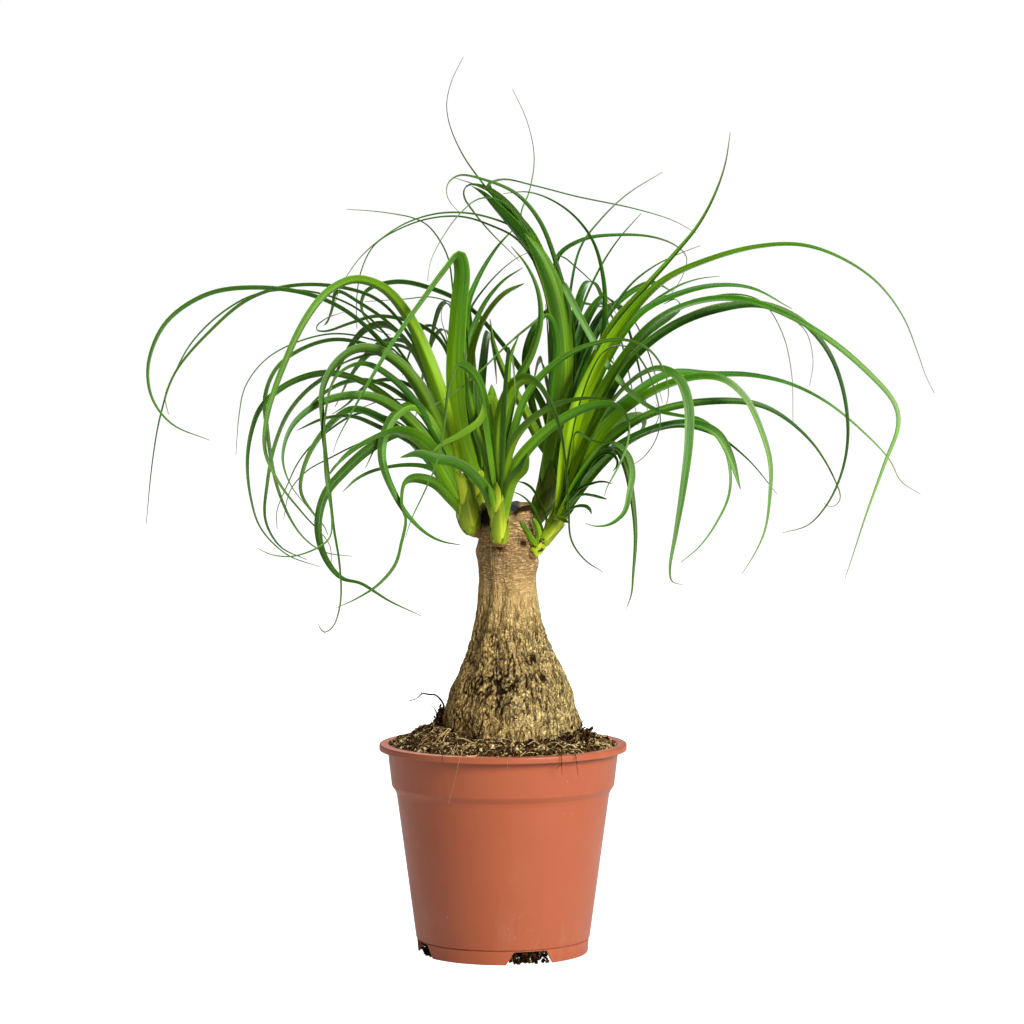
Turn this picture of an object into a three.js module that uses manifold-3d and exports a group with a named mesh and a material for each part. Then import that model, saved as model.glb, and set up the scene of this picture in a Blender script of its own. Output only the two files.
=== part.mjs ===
// A ponytail palm in a plastic nursery pot: a pot, soil, a woody swollen trunk cut off at the top,
// and five leafy shoots round the cut, whose long strap leaves arch out and hang.
// Millimetres, +Z up. The origin is on the pot's axis, on the surface that the pot stands on.
// The front of the plant, which faces the viewer, looks along -Y.

import * as THREE from 'three';
import { mergeVertices } from 'three/addons/utils/BufferGeometryUtils.js';
import Module from 'manifold-3d';

const wasm = await Module();
wasm.setup();

// The viewer's place. Leaves are measured in the upright plane through the pot's axis, as seen
// from here, and each point is then carried along its line of sight to its own depth.
const VIEW_DISTANCE = 2100;
const VIEW_X = 5.5;
const VIEW_Z = 377;

// Pot. Heights here are counted from a little above the ground, and toMesh lifts every piece by it
const GROUND = -2.5;
const RIM_RADIUS = 75.8;
const RIM_TOP = 125.7;
const RIM_SKIRT = 4;
const WALL = 1.4;
const RIM_WALL = 1.6;
const COLLAR_TOP_RADIUS = 71;
const COLLAR_FOOT_RADIUS = 68.2;
const COLLAR_FOOT = 100;
const STEP_RADIUS = 65.8;
const STEP_FOOT = 96.5;
const WALL_TOP_RADIUS = 65.1;
const WALL_TOP = 94;
const WALL_FOOT_RADIUS = 53.3;
const GROOVE_TOP = 6.7;
const GROOVE_RADIUS = 52.2;
const FOOT_TOP = 5.7;
const FOOT_TOP_RADIUS = 52.8;
const FOOT_RADIUS = 52.1;
const FLOOR_UNDER = 6.1;
const FLOOR = 1.6;
const PAD_RADIUS = 22;
const PAD_DRAFT = 2;
const POT_SIDES = 36;
const NOTCHES = 4;
const NOTCH_TURN = 18.6;
const NOTCH_TOP = 5.5;
const NOTCH_FOOT_WIDTH = 31;
const NOTCH_TOP_WIDTH = 20.5;
const DRAINS = 8;
const DRAIN_RADIUS = 3.5;
const DRAIN_RING = 36;

// Clearance between pieces that touch
const GAP = 0.3;

// Trunk: height, radius and how far its middle lies to the right of the pot's axis
const TRUNK_RINGS = [
  [82, 14, 5.5], [84, 24, 5.5], [90, 34, 5.5], [99, 40, 5.5], [112, 43.2, 5.5], [125, 44, 5.5],
  [136, 42.9, 5.6], [148.2, 39.8, 5], [159.2, 36.3, 5.2], [169.6, 31.7, 5.1], [180, 27, 4.4],
  [190.3, 22.8, 3.6], [200.1, 19.9, 3.1], [211.7, 18.2, 3.1], [225.7, 17.4, 2.9],
  [243.4, 17.8, 2.6], [258, 17.2, 2.6], [271, 16.2, 2.6], [273, 14.8, 2.6],
];
const TRUNK_SIDES = 28;
const BARK_STEP = 7.4;
const BARK_FOOT = 112;
const BARK_TOP = 262;
const BASE_TOP = 130;
const NECK_FOOT = 190;
const NECK_RIDGE = 0.35;
const RIDGES = 11;
const RIDGE_DEPTH = 0.9;
const PLATE_DEPTH = 0.8;
const RING_DEPTH = 0.35;
const HOLLOW = { turn: -88, height: 162, radius: 40, width: 15, tall: 11, depth: 2.6 };
const TRUNK_SEED = 41;

// Roots under the trunk: where they leave it, and how they thin
const ROOTS = 5;
const ROOT_SIDES = 7;
const ROOT_LENGTH = 34;
const ROOT_TOP = 96;
const ROOT_RING = 18;
const ROOT_RADIUS = 6.5;
const ROOT_THINNING = 1.6;

// Soil
const SOIL_EDGE = 123;
const SOIL_RISE = 12;
const SOIL_SIDES = 30;
const SOIL_TOP_RINGS = [64, 57, 50, 44, 32, 15];
const HEAP_RUN = 28;
const HEAP_LEAN = 3;
const HEAP_TURN = 137;
const CRUMB = 0.9;
const SOIL_SEED = 97;

// Shoots: the stem's middle line from its seat on the trunk, with the radius at each point
const SHOOTS = {
  shoot_left: [
    [-13, -4, 254, 3.6], [-19, -5, 259, 6], [-21.5, -6, 268, 6.5], [-24, -7, 281, 5.2],
    [-27.5, -8, 294, 3.6],
  ],
  shoot_front: [
    [-2, -18, 249, 4], [-2, -21, 254, 5.2], [-2.5, -22.5, 264, 4.6], [-2.5, -23.5, 276, 5],
    [-1, -25, 288, 3.8],
  ],
  shoot_right: [
    [16.5, -8.5, 241.5, 3.4], [20, -9, 244.5, 4], [25, -9, 250.5, 3.8], [31.5, -9, 259.5, 3.8],
    [37.5, -9, 269, 3.4],
  ],
  shoot_back_left: [[-8, 11, 256, 4.4], [-11, 15, 265, 5.6], [-14, 18, 279, 5.2], [-16, 20, 296, 3.8]],
  shoot_back_right: [[14, 10, 257, 4.6], [22, 13, 267, 5.6], [27.5, 15, 281, 6], [32, 17, 299, 4.8]],
};
const STEM_SIDES = 9;

// Leaves: how they narrow to the tip, and how they are built
const STRAP = 2.2;
const THREAD = 0.9;
const BLUNT = 9;
const TIP_WIDTH = 1.2;
const KEEL = 1.15;
const SAMPLE_STEP = 5;
const SEGMENT_TURN = 28;
const SEGMENT_LENGTH = 80;
const LEAF_ROLL = 42;
const FOOT_ROLL = 26;
const LEAF_ROLL_SPREAD = 14;
const LEAF_TWIST = 26;
const FREE_LENGTH = 18;
const ROOT_LOWEST = 0.22;
const LOW_PLACE = 0.3;
const CLEAR_ROUNDS = 160;
const PUSH = 2.2;
const LEAF_SEED = 2027;
const FILLERS = {
  shoot_left: { count: 2, from: 125, to: 160 },
  shoot_front: { count: 1, from: -100, to: -80 },
  shoot_right: { count: 1, from: 15, to: 45 },
  shoot_back_left: { count: 8, from: 82, to: 135 },
  shoot_back_right: { count: 9, from: 45, to: 98 },
};

const terracotta = new THREE.MeshStandardMaterial({ color: 0xb8664a, roughness: 0.45, metalness: 0 });
const soilBrown = new THREE.MeshStandardMaterial({ color: 0x3c2c22, roughness: 0.95, metalness: 0 });
const bark = new THREE.MeshStandardMaterial({ color: 0x9a7448, roughness: 0.85, metalness: 0 });
const leafGreen = new THREE.MeshStandardMaterial({ color: 0x3f7d1e, roughness: 0.5, metalness: 0 });

const radians = (degrees) => degrees * Math.PI / 180;

// A fixed row of draws between 0 and 1, the same on every run
function makeDraw(seed) {
  let state = seed;
  return () => {
    state = (state * 16807) % 2147483647;
    return state / 2147483647;
  };
}

// Rings of equally many points, joined one to the next, and closed at both ends by a fan
function loft(rings) {
  const sides = rings[0].length;
  const points = rings.flat();
  const faces = [];
  for (let ring = 0; ring + 1 < rings.length; ring += 1) {
    for (let side = 0; side < sides; side += 1) {
      const a = ring * sides + side;
      const b = ring * sides + (side + 1) % sides;
      faces.push(a, b, b + sides, a, b + sides, a + sides);
    }
  }
  const closeEnd = (ring, flip) => {
    if (sides === 3) {
      const [a, b, c] = [ring * 3, ring * 3 + 1, ring * 3 + 2];
      faces.push(a, flip ? c : b, flip ? b : c);
      return;
    }
    const middle = new THREE.Vector3();
    rings[ring].forEach((point) => middle.addScaledVector(point, 1 / sides));
    points.push(middle);
    for (let side = 0; side < sides; side += 1) {
      const a = ring * sides + side;
      const b = ring * sides + (side + 1) % sides;
      faces.push(points.length - 1, flip ? b : a, flip ? a : b);
    }
  };
  closeEnd(0, true);
  closeEnd(rings.length - 1, false);
  const geometry = new THREE.BufferGeometry().setFromPoints(points);
  geometry.setIndex(faces);
  return geometry;
}

// A closed geometry as a solid, turned outward if its faces point in
function toSolid(source) {
  const geometry = source.clone();
  geometry.deleteAttribute('normal');
  geometry.deleteAttribute('uv');
  const merged = mergeVertices(geometry);
  const index = Array.from(merged.index.array);
  const position = merged.attributes.position;
  const corner = (k) => new THREE.Vector3().fromBufferAttribute(position, index[k]);
  const faces = [];
  let volume = 0;
  for (let k = 0; k < index.length; k += 3) {
    if (index[k] !== index[k + 1] && index[k + 1] !== index[k + 2] && index[k] !== index[k + 2]) {
      faces.push(index[k], index[k + 1], index[k + 2]);
      volume += corner(k).dot(corner(k + 1).cross(corner(k + 2)));
    }
  }
  if (volume < 0) faces.reverse();
  return new wasm.Manifold(new wasm.Mesh({
    numProp: 3,
    vertProperties: Float32Array.from(position.array),
    triVerts: Uint32Array.from(faces),
  }));
}

// A solid as a named mesh, without loose scraps
function toMesh(name, solid, material) {
  const pieces = solid.decompose().sort((a, b) => b.volume() - a.volume());
  const data = pieces[0].getMesh();
  const geometry = new THREE.BufferGeometry();
  geometry.setAttribute('position', new THREE.BufferAttribute(Float32Array.from(data.vertProperties), 3));
  geometry.setIndex(Array.from(data.triVerts));
  geometry.translate(0, 0, -GROUND);
  geometry.computeVertexNormals();
  const mesh = new THREE.Mesh(geometry, material);
  mesh.name = name;
  return mesh;
}

// Points round a level circle
function levelRing(sides, radiusAt, heightAt, middleX = 0, middleY = 0) {
  return Array.from({ length: sides }, (_, side) => {
    const turn = side / sides * Math.PI * 2;
    const radius = radiusAt(turn);
    return new THREE.Vector3(
      middleX + radius * Math.cos(turn), middleY + radius * Math.sin(turn), heightAt(turn));
  });
}

// The straight value between the rows of a table whose first column rises
function between(rows, at, column) {
  const above = Math.max(1, rows.findIndex((row) => row[0] >= at));
  const [low, high] = [rows[above - 1], rows[above]];
  return THREE.MathUtils.lerp(low[column], high[column], (at - low[0]) / (high[0] - low[0]));
}

// The pot's inner wall, from the floor's edge to the rim: height and radius
const INNER_WALL = [
  [FLOOR_UNDER + FLOOR, WALL_FOOT_RADIUS - WALL],
  [WALL_TOP, WALL_TOP_RADIUS - WALL], [STEP_FOOT, STEP_RADIUS - WALL],
  [COLLAR_FOOT, COLLAR_FOOT_RADIUS - WALL], [RIM_TOP - RIM_WALL, COLLAR_TOP_RADIUS - WALL],
  [RIM_TOP, COLLAR_TOP_RADIUS - WALL + 0.4],
];

function makePot() {
  const profile = [
    [0, GROUND], [PAD_RADIUS, GROUND], [PAD_RADIUS + PAD_DRAFT, FLOOR_UNDER],
    [FOOT_RADIUS - WALL, FLOOR_UNDER], [FOOT_RADIUS - WALL, GROUND], [FOOT_RADIUS, GROUND],
    [FOOT_TOP_RADIUS, FOOT_TOP], [GROOVE_RADIUS, FOOT_TOP + 0.3], [GROOVE_RADIUS, GROOVE_TOP - 0.3],
    [WALL_FOOT_RADIUS, GROOVE_TOP], [WALL_TOP_RADIUS, WALL_TOP], [STEP_RADIUS, STEP_FOOT],
    [COLLAR_FOOT_RADIUS, COLLAR_FOOT], [COLLAR_TOP_RADIUS, RIM_TOP - RIM_WALL],
    [RIM_RADIUS - RIM_WALL, RIM_TOP - RIM_WALL], [RIM_RADIUS - RIM_WALL, RIM_TOP - RIM_SKIRT],
    [RIM_RADIUS, RIM_TOP - RIM_SKIRT], [RIM_RADIUS, RIM_TOP - 0.5], [RIM_RADIUS - 0.5, RIM_TOP],
    ...INNER_WALL.map(([height, radius]) => [radius, height]).reverse(),
    [PAD_RADIUS - WALL + PAD_DRAFT, FLOOR_UNDER + FLOOR], [PAD_RADIUS - WALL, GROUND + FLOOR],
    [0, GROUND + FLOOR],
  ];
  const outline = profile.map(([radius, height]) => new THREE.Vector2(radius, height));
  let pot = toSolid(new THREE.LatheGeometry(outline, POT_SIDES).rotateX(Math.PI / 2));
  for (let notch = 0; notch < NOTCHES; notch += 1) {
    const shape = new THREE.Shape([
      new THREE.Vector2(-NOTCH_FOOT_WIDTH / 2, GROUND - 1),
      new THREE.Vector2(NOTCH_FOOT_WIDTH / 2, GROUND - 1),
      new THREE.Vector2(NOTCH_TOP_WIDTH / 2, NOTCH_TOP),
      new THREE.Vector2(-NOTCH_TOP_WIDTH / 2, NOTCH_TOP),
    ]);
    const cutter = new THREE.ExtrudeGeometry(shape, { depth: FOOT_RADIUS / 2, bevelEnabled: false })
      .rotateX(Math.PI / 2)
      .translate(0, -FOOT_RADIUS * 0.75, 0)
      .rotateZ(radians(NOTCH_TURN + 360 / NOTCHES * notch));
    pot = pot.subtract(toSolid(cutter));
  }
  for (let drain = 0; drain < DRAINS; drain += 1) {
    const turn = radians(360 / DRAINS * (drain + 0.5));
    const drill = new THREE.CylinderGeometry(DRAIN_RADIUS, DRAIN_RADIUS, 4 * FLOOR, 10)
      .rotateX(Math.PI / 2)
      .translate(DRAIN_RING * Math.cos(turn), DRAIN_RING * Math.sin(turn), FLOOR_UNDER + FLOOR / 2);
    pot = pot.subtract(toSolid(drill));
  }
  return pot;
}

// The bark's relief: plates on the swollen base, long ridges above them, faint rings on the neck,
// and one dark hollow in front
function barkRelief(turn, height) {
  const low = 1 - THREE.MathUtils.smoothstep(height, BASE_TOP, NECK_FOOT);
  const up = 1 - (1 - NECK_RIDGE) * THREE.MathUtils.smoothstep(height, NECK_FOOT - 20, NECK_FOOT + 25);
  const ridge = Math.sin(RIDGES * turn + 1.3 * Math.sin(height / 13)) * RIDGE_DEPTH * up;
  const plate = Math.sin(height / 3.1 + 2.2 * Math.sin(3 * turn)) * PLATE_DEPTH * low;
  const ring = Math.sin(height * 0.9 + turn) * RING_DEPTH * (1 - low);
  const across = (turn - radians(360 + HOLLOW.turn)) * HOLLOW.radius / HOLLOW.width;
  const upward = (height - HOLLOW.height) / HOLLOW.tall;
  const hollow = HOLLOW.depth * Math.exp(-across * across - upward * upward);
  return ridge + plate + ring - hollow;
}

// The trunk with its roots, grown all round by a clearance where a neighbour is cut by it
function makeTrunk(grow) {
  const [lowest, highest] = [TRUNK_RINGS[0][0], TRUNK_RINGS.at(-1)[0]];
  const heights = TRUNK_RINGS.map(([height]) => height)
    .filter((height) => height < BARK_FOOT || height >= BARK_TOP);
  for (let height = BARK_FOOT; height < BARK_TOP; height += BARK_STEP) heights.push(height);
  heights.sort((a, b) => a - b);
  const rings = heights.map((height) => {
    const relief = THREE.MathUtils.smoothstep(height, lowest, BARK_FOOT);
    const stretch = height === lowest ? -grow : height === highest ? grow : 0;
    return levelRing(
      TRUNK_SIDES,
      (turn) => between(TRUNK_RINGS, height, 1) + relief * barkRelief(turn, height) + grow,
      () => height + stretch,
      between(TRUNK_RINGS, height, 2),
    );
  });
  let trunk = toSolid(loft(rings));
  const draw = makeDraw(TRUNK_SEED);
  for (let root = 0; root < ROOTS; root += 1) {
    const turn = (root + 0.5 * draw()) / ROOTS * Math.PI * 2;
    const length = ROOT_LENGTH * (0.8 + 0.4 * draw());
    const outward = new THREE.Vector3(Math.cos(turn), Math.sin(turn), 0);
    const side = new THREE.Vector3(-Math.sin(turn), Math.cos(turn), 0);
    const upright = outward.clone().setZ(0.5).normalize();
    const rootRings = [0, 0.35, 0.7, 1].map((along, step) => {
      const middle = new THREE.Vector3(TRUNK_RINGS[0][2], 0, ROOT_TOP - length * along * (0.9 + 0.4 * along))
        .addScaledVector(outward, ROOT_RING + 0.55 * length * along);
      const radius = ROOT_RADIUS - ROOT_THINNING * step + grow;
      return Array.from({ length: ROOT_SIDES }, (_, k) => {
        const angle = k / ROOT_SIDES * Math.PI * 2;
        return middle.clone()
          .addScaledVector(side, radius * Math.cos(angle))
          .addScaledVector(upright, radius * Math.sin(angle));
      });
    });
    trunk = trunk.add(toSolid(loft(rootRings)));
  }
  return trunk;
}

// Soil fills the pot and is heaped against the trunk, with crumbs on its surface
function makeSoil() {
  const draw = makeDraw(SOIL_SEED);
  const wall = INNER_WALL.slice(0, 4).concat([[SOIL_EDGE, between(INNER_WALL, SOIL_EDGE, 1)]]);
  const floor = [
    [PAD_RADIUS - WALL, GROUND + FLOOR], [PAD_RADIUS - WALL + PAD_DRAFT, FLOOR_UNDER + FLOOR],
  ];
  const rings = floor.map(([radius, height]) => (
    levelRing(SOIL_SIDES, () => radius - GAP, () => height + GAP)));
  wall.forEach(([height, radius], row) => {
    rings.push(levelRing(SOIL_SIDES, () => radius - GAP, () => height + (row === 0 ? GAP : 0)));
  });
  for (const radius of SOIL_TOP_RINGS) {
    const inward = (wall.at(-1)[1] - radius) / HEAP_RUN;
    const lumps = Array.from({ length: SOIL_SIDES }, () => draw());
    rings.push(levelRing(SOIL_SIDES, () => radius, (turn) => {
      const side = Math.round(turn / (Math.PI * 2) * SOIL_SIDES) % SOIL_SIDES;
      const heap = SOIL_RISE + HEAP_LEAN * Math.cos(turn - radians(HEAP_TURN));
      return SOIL_EDGE + heap * Math.min(1, inward) ** 0.8 + CRUMB * 2 * (lumps[side] - 0.5);
    }));
  }
  return toSolid(loft(rings)).subtract(makeTrunk(GAP));
}

// A stem: round rings square to its middle line
function makeStem(middles) {
  const points = middles.map(([x, y, z]) => new THREE.Vector3(x, y, z));
  const rings = points.map((point, k) => {
    const along = points[Math.min(k + 1, points.length - 1)].clone()
      .sub(points[Math.max(k - 1, 0)]).normalize();
    const side = new THREE.Vector3(0, 1, 0).cross(along).normalize();
    const face = along.clone().cross(side);
    return Array.from({ length: STEM_SIDES }, (_, corner) => {
      const angle = corner / STEM_SIDES * Math.PI * 2;
      return point.clone()
        .addScaledVector(side, middles[k][3] * Math.cos(angle))
        .addScaledVector(face, middles[k][3] * Math.sin(angle));
    });
  });
  return toSolid(loft(rings));
}

// One leaf: its widest width, how it narrows, its tip's depth, and the points that it runs through
// in the upright plane through the pot's axis, from above the stem to the tip
const leaf = (width, taper, depth, ...through) => ({ width, taper, depth, through });
const lowLeaf = (...values) => ({ ...leaf(...values), low: true });

const LEAVES = {
  shoot_left: [
    leaf(5.5, STRAP, 20, [-40, 318], [-62, 356], [-90, 386], [-115, 399], [-150, 404], [-180, 400],
      [-205, 383], [-216, 358], [-214, 337], [-202, 321], [-179, 311]),
    leaf(5, STRAP, 48, [-38, 330], [-55, 372], [-75, 396], [-100, 404.5], [-130, 405], [-155, 397],
      [-178, 378], [-200, 352], [-209, 326], [-214, 298], [-218, 260]),
    leaf(4.5, THREAD, 76, [-45, 335], [-65, 368], [-90, 392], [-120, 402], [-150, 400], [-172, 388],
      [-190, 370], [-201, 350], [-206, 338], [-204, 327]),
    leaf(11.5, THREAD, -42, [-33, 320], [-44, 356], [-58, 387], [-73, 404], [-90, 409], [-106, 402],
      [-120, 385], [-134, 356], [-144, 325], [-145, 304], [-136, 284], [-122, 266], [-106, 247],
      [-105, 235]),
    leaf(7.5, STRAP, -88, [-40, 322], [-57, 352], [-74, 365], [-88, 367], [-101, 359], [-110, 343],
      [-110, 320], [-107, 290], [-104, 260], [-100, 234], [-99.5, 212], [-104, 197], [-110, 193.5],
      [-113, 199]),
    leaf(5, STRAP, -98, [-43, 318], [-63, 345], [-85, 358], [-102, 350], [-109, 325], [-109, 290],
      [-105, 262], [-107, 250], [-126, 240.5], [-141, 241], [-150, 245]),
    leaf(5, STRAP, -24, [-38, 325], [-55, 352], [-72, 363.5], [-90, 361], [-105, 354]),
    leaf(5, THREAD, 62, [-45, 335], [-66, 366], [-85, 374], [-105, 376], [-128, 370], [-145, 360],
      [-157, 344], [-161, 326], [-163, 302]),
    leaf(6, STRAP, 12, [-40, 325], [-62, 358], [-85, 370], [-104, 372.5], [-124, 366], [-138, 355],
      [-145, 338], [-144, 318], [-137, 280], [-124, 254], [-110, 243], [-92, 240]),
    leaf(7, STRAP, -34, [-42, 308], [-62, 330], [-84, 346], [-107, 352], [-130, 346], [-147, 332],
      [-153, 318], [-156, 298], [-154, 275], [-148, 257], [-132, 241], [-112, 233.5]),
    leaf(5, STRAP, 32, [-48, 312], [-76, 340], [-100, 352], [-115, 345], [-130, 329], [-139, 309],
      [-144, 284], [-145, 262], [-136, 246], [-120, 238]),
    leaf(8, STRAP, -66, [-42, 304], [-60, 326], [-78, 337], [-97, 338], [-115, 332], [-129, 319],
      [-134.5, 300], [-130, 284], [-118, 268]),
    leaf(6, BLUNT, -20, [-40, 296], [-58, 311], [-75, 319], [-92, 326], [-108, 325], [-126, 317]),
    leaf(10, BLUNT, -96, [-46, 308], [-62, 317], [-75, 315], [-90, 307], [-101, 298], [-107, 289]),
    leaf(7, STRAP, -76, [-42, 305], [-62, 316], [-80, 307], [-98, 291], [-109, 277], [-113, 258],
      [-109, 240], [-99, 227], [-87, 223.5], [-70, 213], [-50, 203.5]),
    leaf(7, STRAP, 0, [-46, 300], [-70, 322], [-92, 330], [-108, 318], [-120, 299], [-123.5, 280],
      [-117, 268], [-109, 258], [-107, 253]),
    leaf(4, THREAD, 38, [-40, 300], [-60, 316], [-85, 310], [-106, 300], [-120, 292], [-130, 280],
      [-134, 263]),
    leaf(4, THREAD, 58, [-50, 312], [-84, 328], [-110, 314], [-124, 299], [-132, 283], [-138, 268],
      [-138, 257]),
    leaf(5, BLUNT, -30, [-32, 284], [-44, 294], [-60, 296], [-78, 293], [-90, 287], [-98, 279.5]),
    leaf(7, STRAP, -84, [-31, 274], [-42, 285], [-55, 288], [-61, 284], [-62.5, 272], [-60, 262],
      [-62.5, 248], [-66, 235], [-76, 223], [-90, 214], [-102, 208.5]),
    leaf(7, STRAP, -54, [-34, 305], [-46, 327], [-56, 332], [-66, 326], [-72, 315], [-74, 303],
      [-72, 292], [-64, 274], [-58, 265], [-48, 255], [-38, 249.5], [-26, 247]),
    leaf(6, STRAP, 18, [-36, 315], [-52, 341], [-68, 348], [-82, 345], [-95, 333], [-104, 327]),
    leaf(4, THREAD, 44, [-38, 312], [-54, 333], [-70, 336], [-82, 332.5], [-92, 328]),
    leaf(4, STRAP, 26, [-36, 300], [-50, 315], [-64, 319], [-76, 309], [-84, 294]),
    leaf(6, STRAP, 84, [-38, 332], [-54, 366], [-70, 383], [-86, 394], [-101, 401.5], [-104, 391],
      [-107, 383], [-109, 381]),
  ],
  shoot_back_left: [
    leaf(12, STRAP, -60, [-26, 318], [-29, 350], [-27, 390], [-25, 415], [-28, 424], [-36, 415],
      [-50, 396], [-66, 373], [-80, 350], [-92, 329], [-101, 312], [-104, 303]),
    leaf(6, STRAP, 64, [-24, 330], [-36, 369], [-48, 380], [-62, 385], [-78, 386.5], [-94, 382],
      [-108, 377.5], [-114, 379], [-108, 385], [-97, 389]),
    leaf(4, THREAD, 34, [-20, 340], [-26, 390], [-42, 398], [-60, 397], [-84, 395.5]),
    leaf(5, THREAD, 46, [-24, 345], [-30, 400], [-34, 424], [-45, 441], [-54, 446], [-65, 448.5],
      [-80, 450.5], [-95, 451.5]),
    leaf(10, BLUNT, 8, [-19, 320], [-20, 360], [-11, 387], [0, 400], [13, 406.5]),
    leaf(6, STRAP, 52, [-21, 330], [-21, 368], [-12, 393], [0, 408], [12, 416]),
    leaf(4, THREAD, 72, [-24, 330], [-22, 385], [-10, 405], [7, 421], [22, 428]),
    leaf(6, STRAP, 62, [-20, 340], [-22, 390], [-16, 408], [-4, 428], [8, 441]),
    leaf(3.5, THREAD, 24, [-30, 330], [-34, 372], [-37.5, 386], [-36, 395]),
  ],
  shoot_back_right: [
    leaf(15, BLUNT, 18, [38, 325], [42, 352], [38, 390], [26, 418], [10, 438], [-3, 452.5],
      [-12, 461.5], [-19, 465.5]),
    leaf(13, BLUNT, -8, [33, 325], [37, 355], [33, 395], [23, 422], [13, 437]),
    leaf(12, STRAP, 44, [35, 330], [38, 370], [30, 412], [14, 442], [-4, 460], [-18, 467], [-29, 470.5]),
    leaf(5, THREAD, 30, [30, 350], [26, 400], [12, 436], [-10, 447], [-35, 449.5], [-57, 444],
      [-75, 433], [-88, 421], [-99, 404], [-104, 390], [-109, 381]),
    leaf(4, THREAD, 56, [32, 350], [28, 398], [10, 432], [-8, 442], [-25, 447], [-44, 446],
      [-62, 440], [-78, 430], [-86, 415], [-89, 398], [-89, 379]),
    leaf(4, THREAD, -16, [33, 350], [30, 400], [18, 432], [0, 456], [-14, 458], [-26, 449],
      [-37, 434], [-44, 420], [-46, 408]),
    leaf(6, THREAD, 34, [32, 350], [26, 400], [14, 430], [2, 450], [-12, 467], [-24, 484],
      [-32, 502], [-34, 515], [-31, 529], [-24, 543.5]),
    leaf(5, THREAD, 66, [33, 340], [33, 385], [22, 422], [11, 447], [16, 462], [19, 478],
      [18.5, 490], [14, 507], [6, 524]),
    leaf(4.5, STRAP, -4, [36, 345], [40, 385], [32, 420], [22, 445], [8, 461], [-10, 469],
      [-27, 472], [-34, 466], [-33, 457], [-27, 450]),
    leaf(5, STRAP, 74, [30, 350], [28, 398], [12, 445], [-8, 464], [-22, 466], [-24, 460],
      [-18, 450], [-8, 438], [2, 428], [10, 420]),
    leaf(5, STRAP, 88, [34, 350], [34, 390], [18, 436], [-4, 459], [-9, 466], [0, 470], [20, 466],
      [45, 459.5], [80, 452], [103, 445], [118, 437]),
    leaf(5, STRAP, 52, [34, 350], [35, 395], [33, 422], [48, 433], [70, 436], [92, 434.5],
      [106, 429], [112, 422], [109, 410], [103, 401]),
    leaf(4, THREAD, -26, [33, 360], [31, 405], [34, 423], [46, 415], [60, 401], [69, 388]),
    leaf(4, THREAD, 70, [34, 340], [40, 395], [47, 428], [60, 446], [76, 461], [97, 474]),
    leaf(4, THREAD, 92, [36, 330], [46, 385], [58, 414], [70, 433], [84, 449]),
    leaf(5, STRAP, -58, [31, 350], [30, 398], [34, 408], [46, 388], [55, 372], [66, 354], [78, 340],
      [92, 330], [108, 326], [120, 324], [131, 315], [138, 297], [138, 278], [130, 260], [120, 246],
      [109, 236.5]),
    leaf(6, STRAP, 100, [25, 330], [12, 352], [-2, 372], [-22, 393], [-45, 404], [-65, 407.5],
      [-83, 402], [-86, 391], [-78, 379], [-68, 375]),
    leaf(7, STRAP, 2, [20, 316], [12, 332], [2, 350], [-5, 368], [-8, 385]),
    leaf(4.5, STRAP, -44, [30, 340], [33, 372], [27, 387], [14, 379], [0, 367], [-14, 353],
      [-28, 341], [-45, 330.5]),
    leaf(7, STRAP, 46, [27, 320], [29, 345], [28, 372], [26, 394]),
    leaf(7, STRAP, 16, [44, 330], [58, 362], [62, 385], [61, 410], [55, 432], [44, 447], [30, 457],
      [15, 462], [0, 461]),
    leaf(6, STRAP, 84, [22, 318], [16, 342], [14, 364], [22, 384], [38, 396], [52, 394], [66, 391]),
  ],
  shoot_right: [
    leaf(12, THREAD, -20, [42, 319], [56, 354], [74, 384], [97, 408], [125, 421], [155, 429], [182, 430],
      [206, 422], [228, 407], [244, 386], [253, 364], [258, 350], [263, 340]),
    leaf(9, THREAD, 18, [41, 317], [51, 351], [67, 382], [87, 405], [104, 424], [118, 441], [128, 459],
      [135, 479], [138, 498]),
    leaf(7, STRAP, 42, [48, 320], [62, 358], [83, 388], [106, 400], [130, 405.5], [152, 403.5], [176, 391]),
    leaf(9.5, STRAP, -44, [50, 318], [68, 354], [91, 383], [115, 395], [142, 397.5], [170, 389],
      [198, 373], [222, 353], [239, 333], [241, 320], [233, 297], [222, 266], [213, 238], [209, 226]),
    leaf(7, STRAP, 24, [54, 318], [78, 360], [104, 381], [130, 391], [156, 394], [180, 385],
      [197, 367], [207, 343], [210.5, 315], [207, 292], [198, 272], [186, 259], [171, 254.5]),
    leaf(4.5, THREAD, 66, [52, 326], [80, 371], [112, 393], [140, 400], [158, 395], [170, 377],
      [176, 352], [177, 320]),
    leaf(4, THREAD, 84, [56, 322], [84, 366], [114, 388], [144, 395], [168, 389], [184, 378],
      [189, 360], [187, 344]),
    leaf(6, STRAP, 56, [54, 314], [78, 338], [102, 352], [128, 351.5], [150, 351], [175, 345.5],
      [198, 334], [220, 316], [236, 299], [243, 286], [255, 278]),
    leaf(8.5, STRAP, -6, [50, 302], [70, 327], [95, 343], [120, 350], [135, 348], [148, 337],
      [157, 319], [163, 298], [163, 278], [160, 256], [154, 242], [146, 229]),
    leaf(7, STRAP, 36, [52, 298], [75, 319], [98, 330], [128, 335], [153, 333.5], [170, 326],
      [190, 308], [203, 286], [206, 275], [201, 270], [196, 272.5]),
    leaf(7, BLUNT, -58, [50, 292], [72, 310], [96, 320], [116, 322], [130, 316], [138, 303], [145, 281]),
    leaf(9, STRAP, -84, [50, 308], [68, 338], [84, 352], [96, 355], [107, 349], [113, 334],
      [113.5, 312], [110, 282], [105.5, 254], [102, 232], [103.5, 224.5], [110, 223]),
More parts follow.
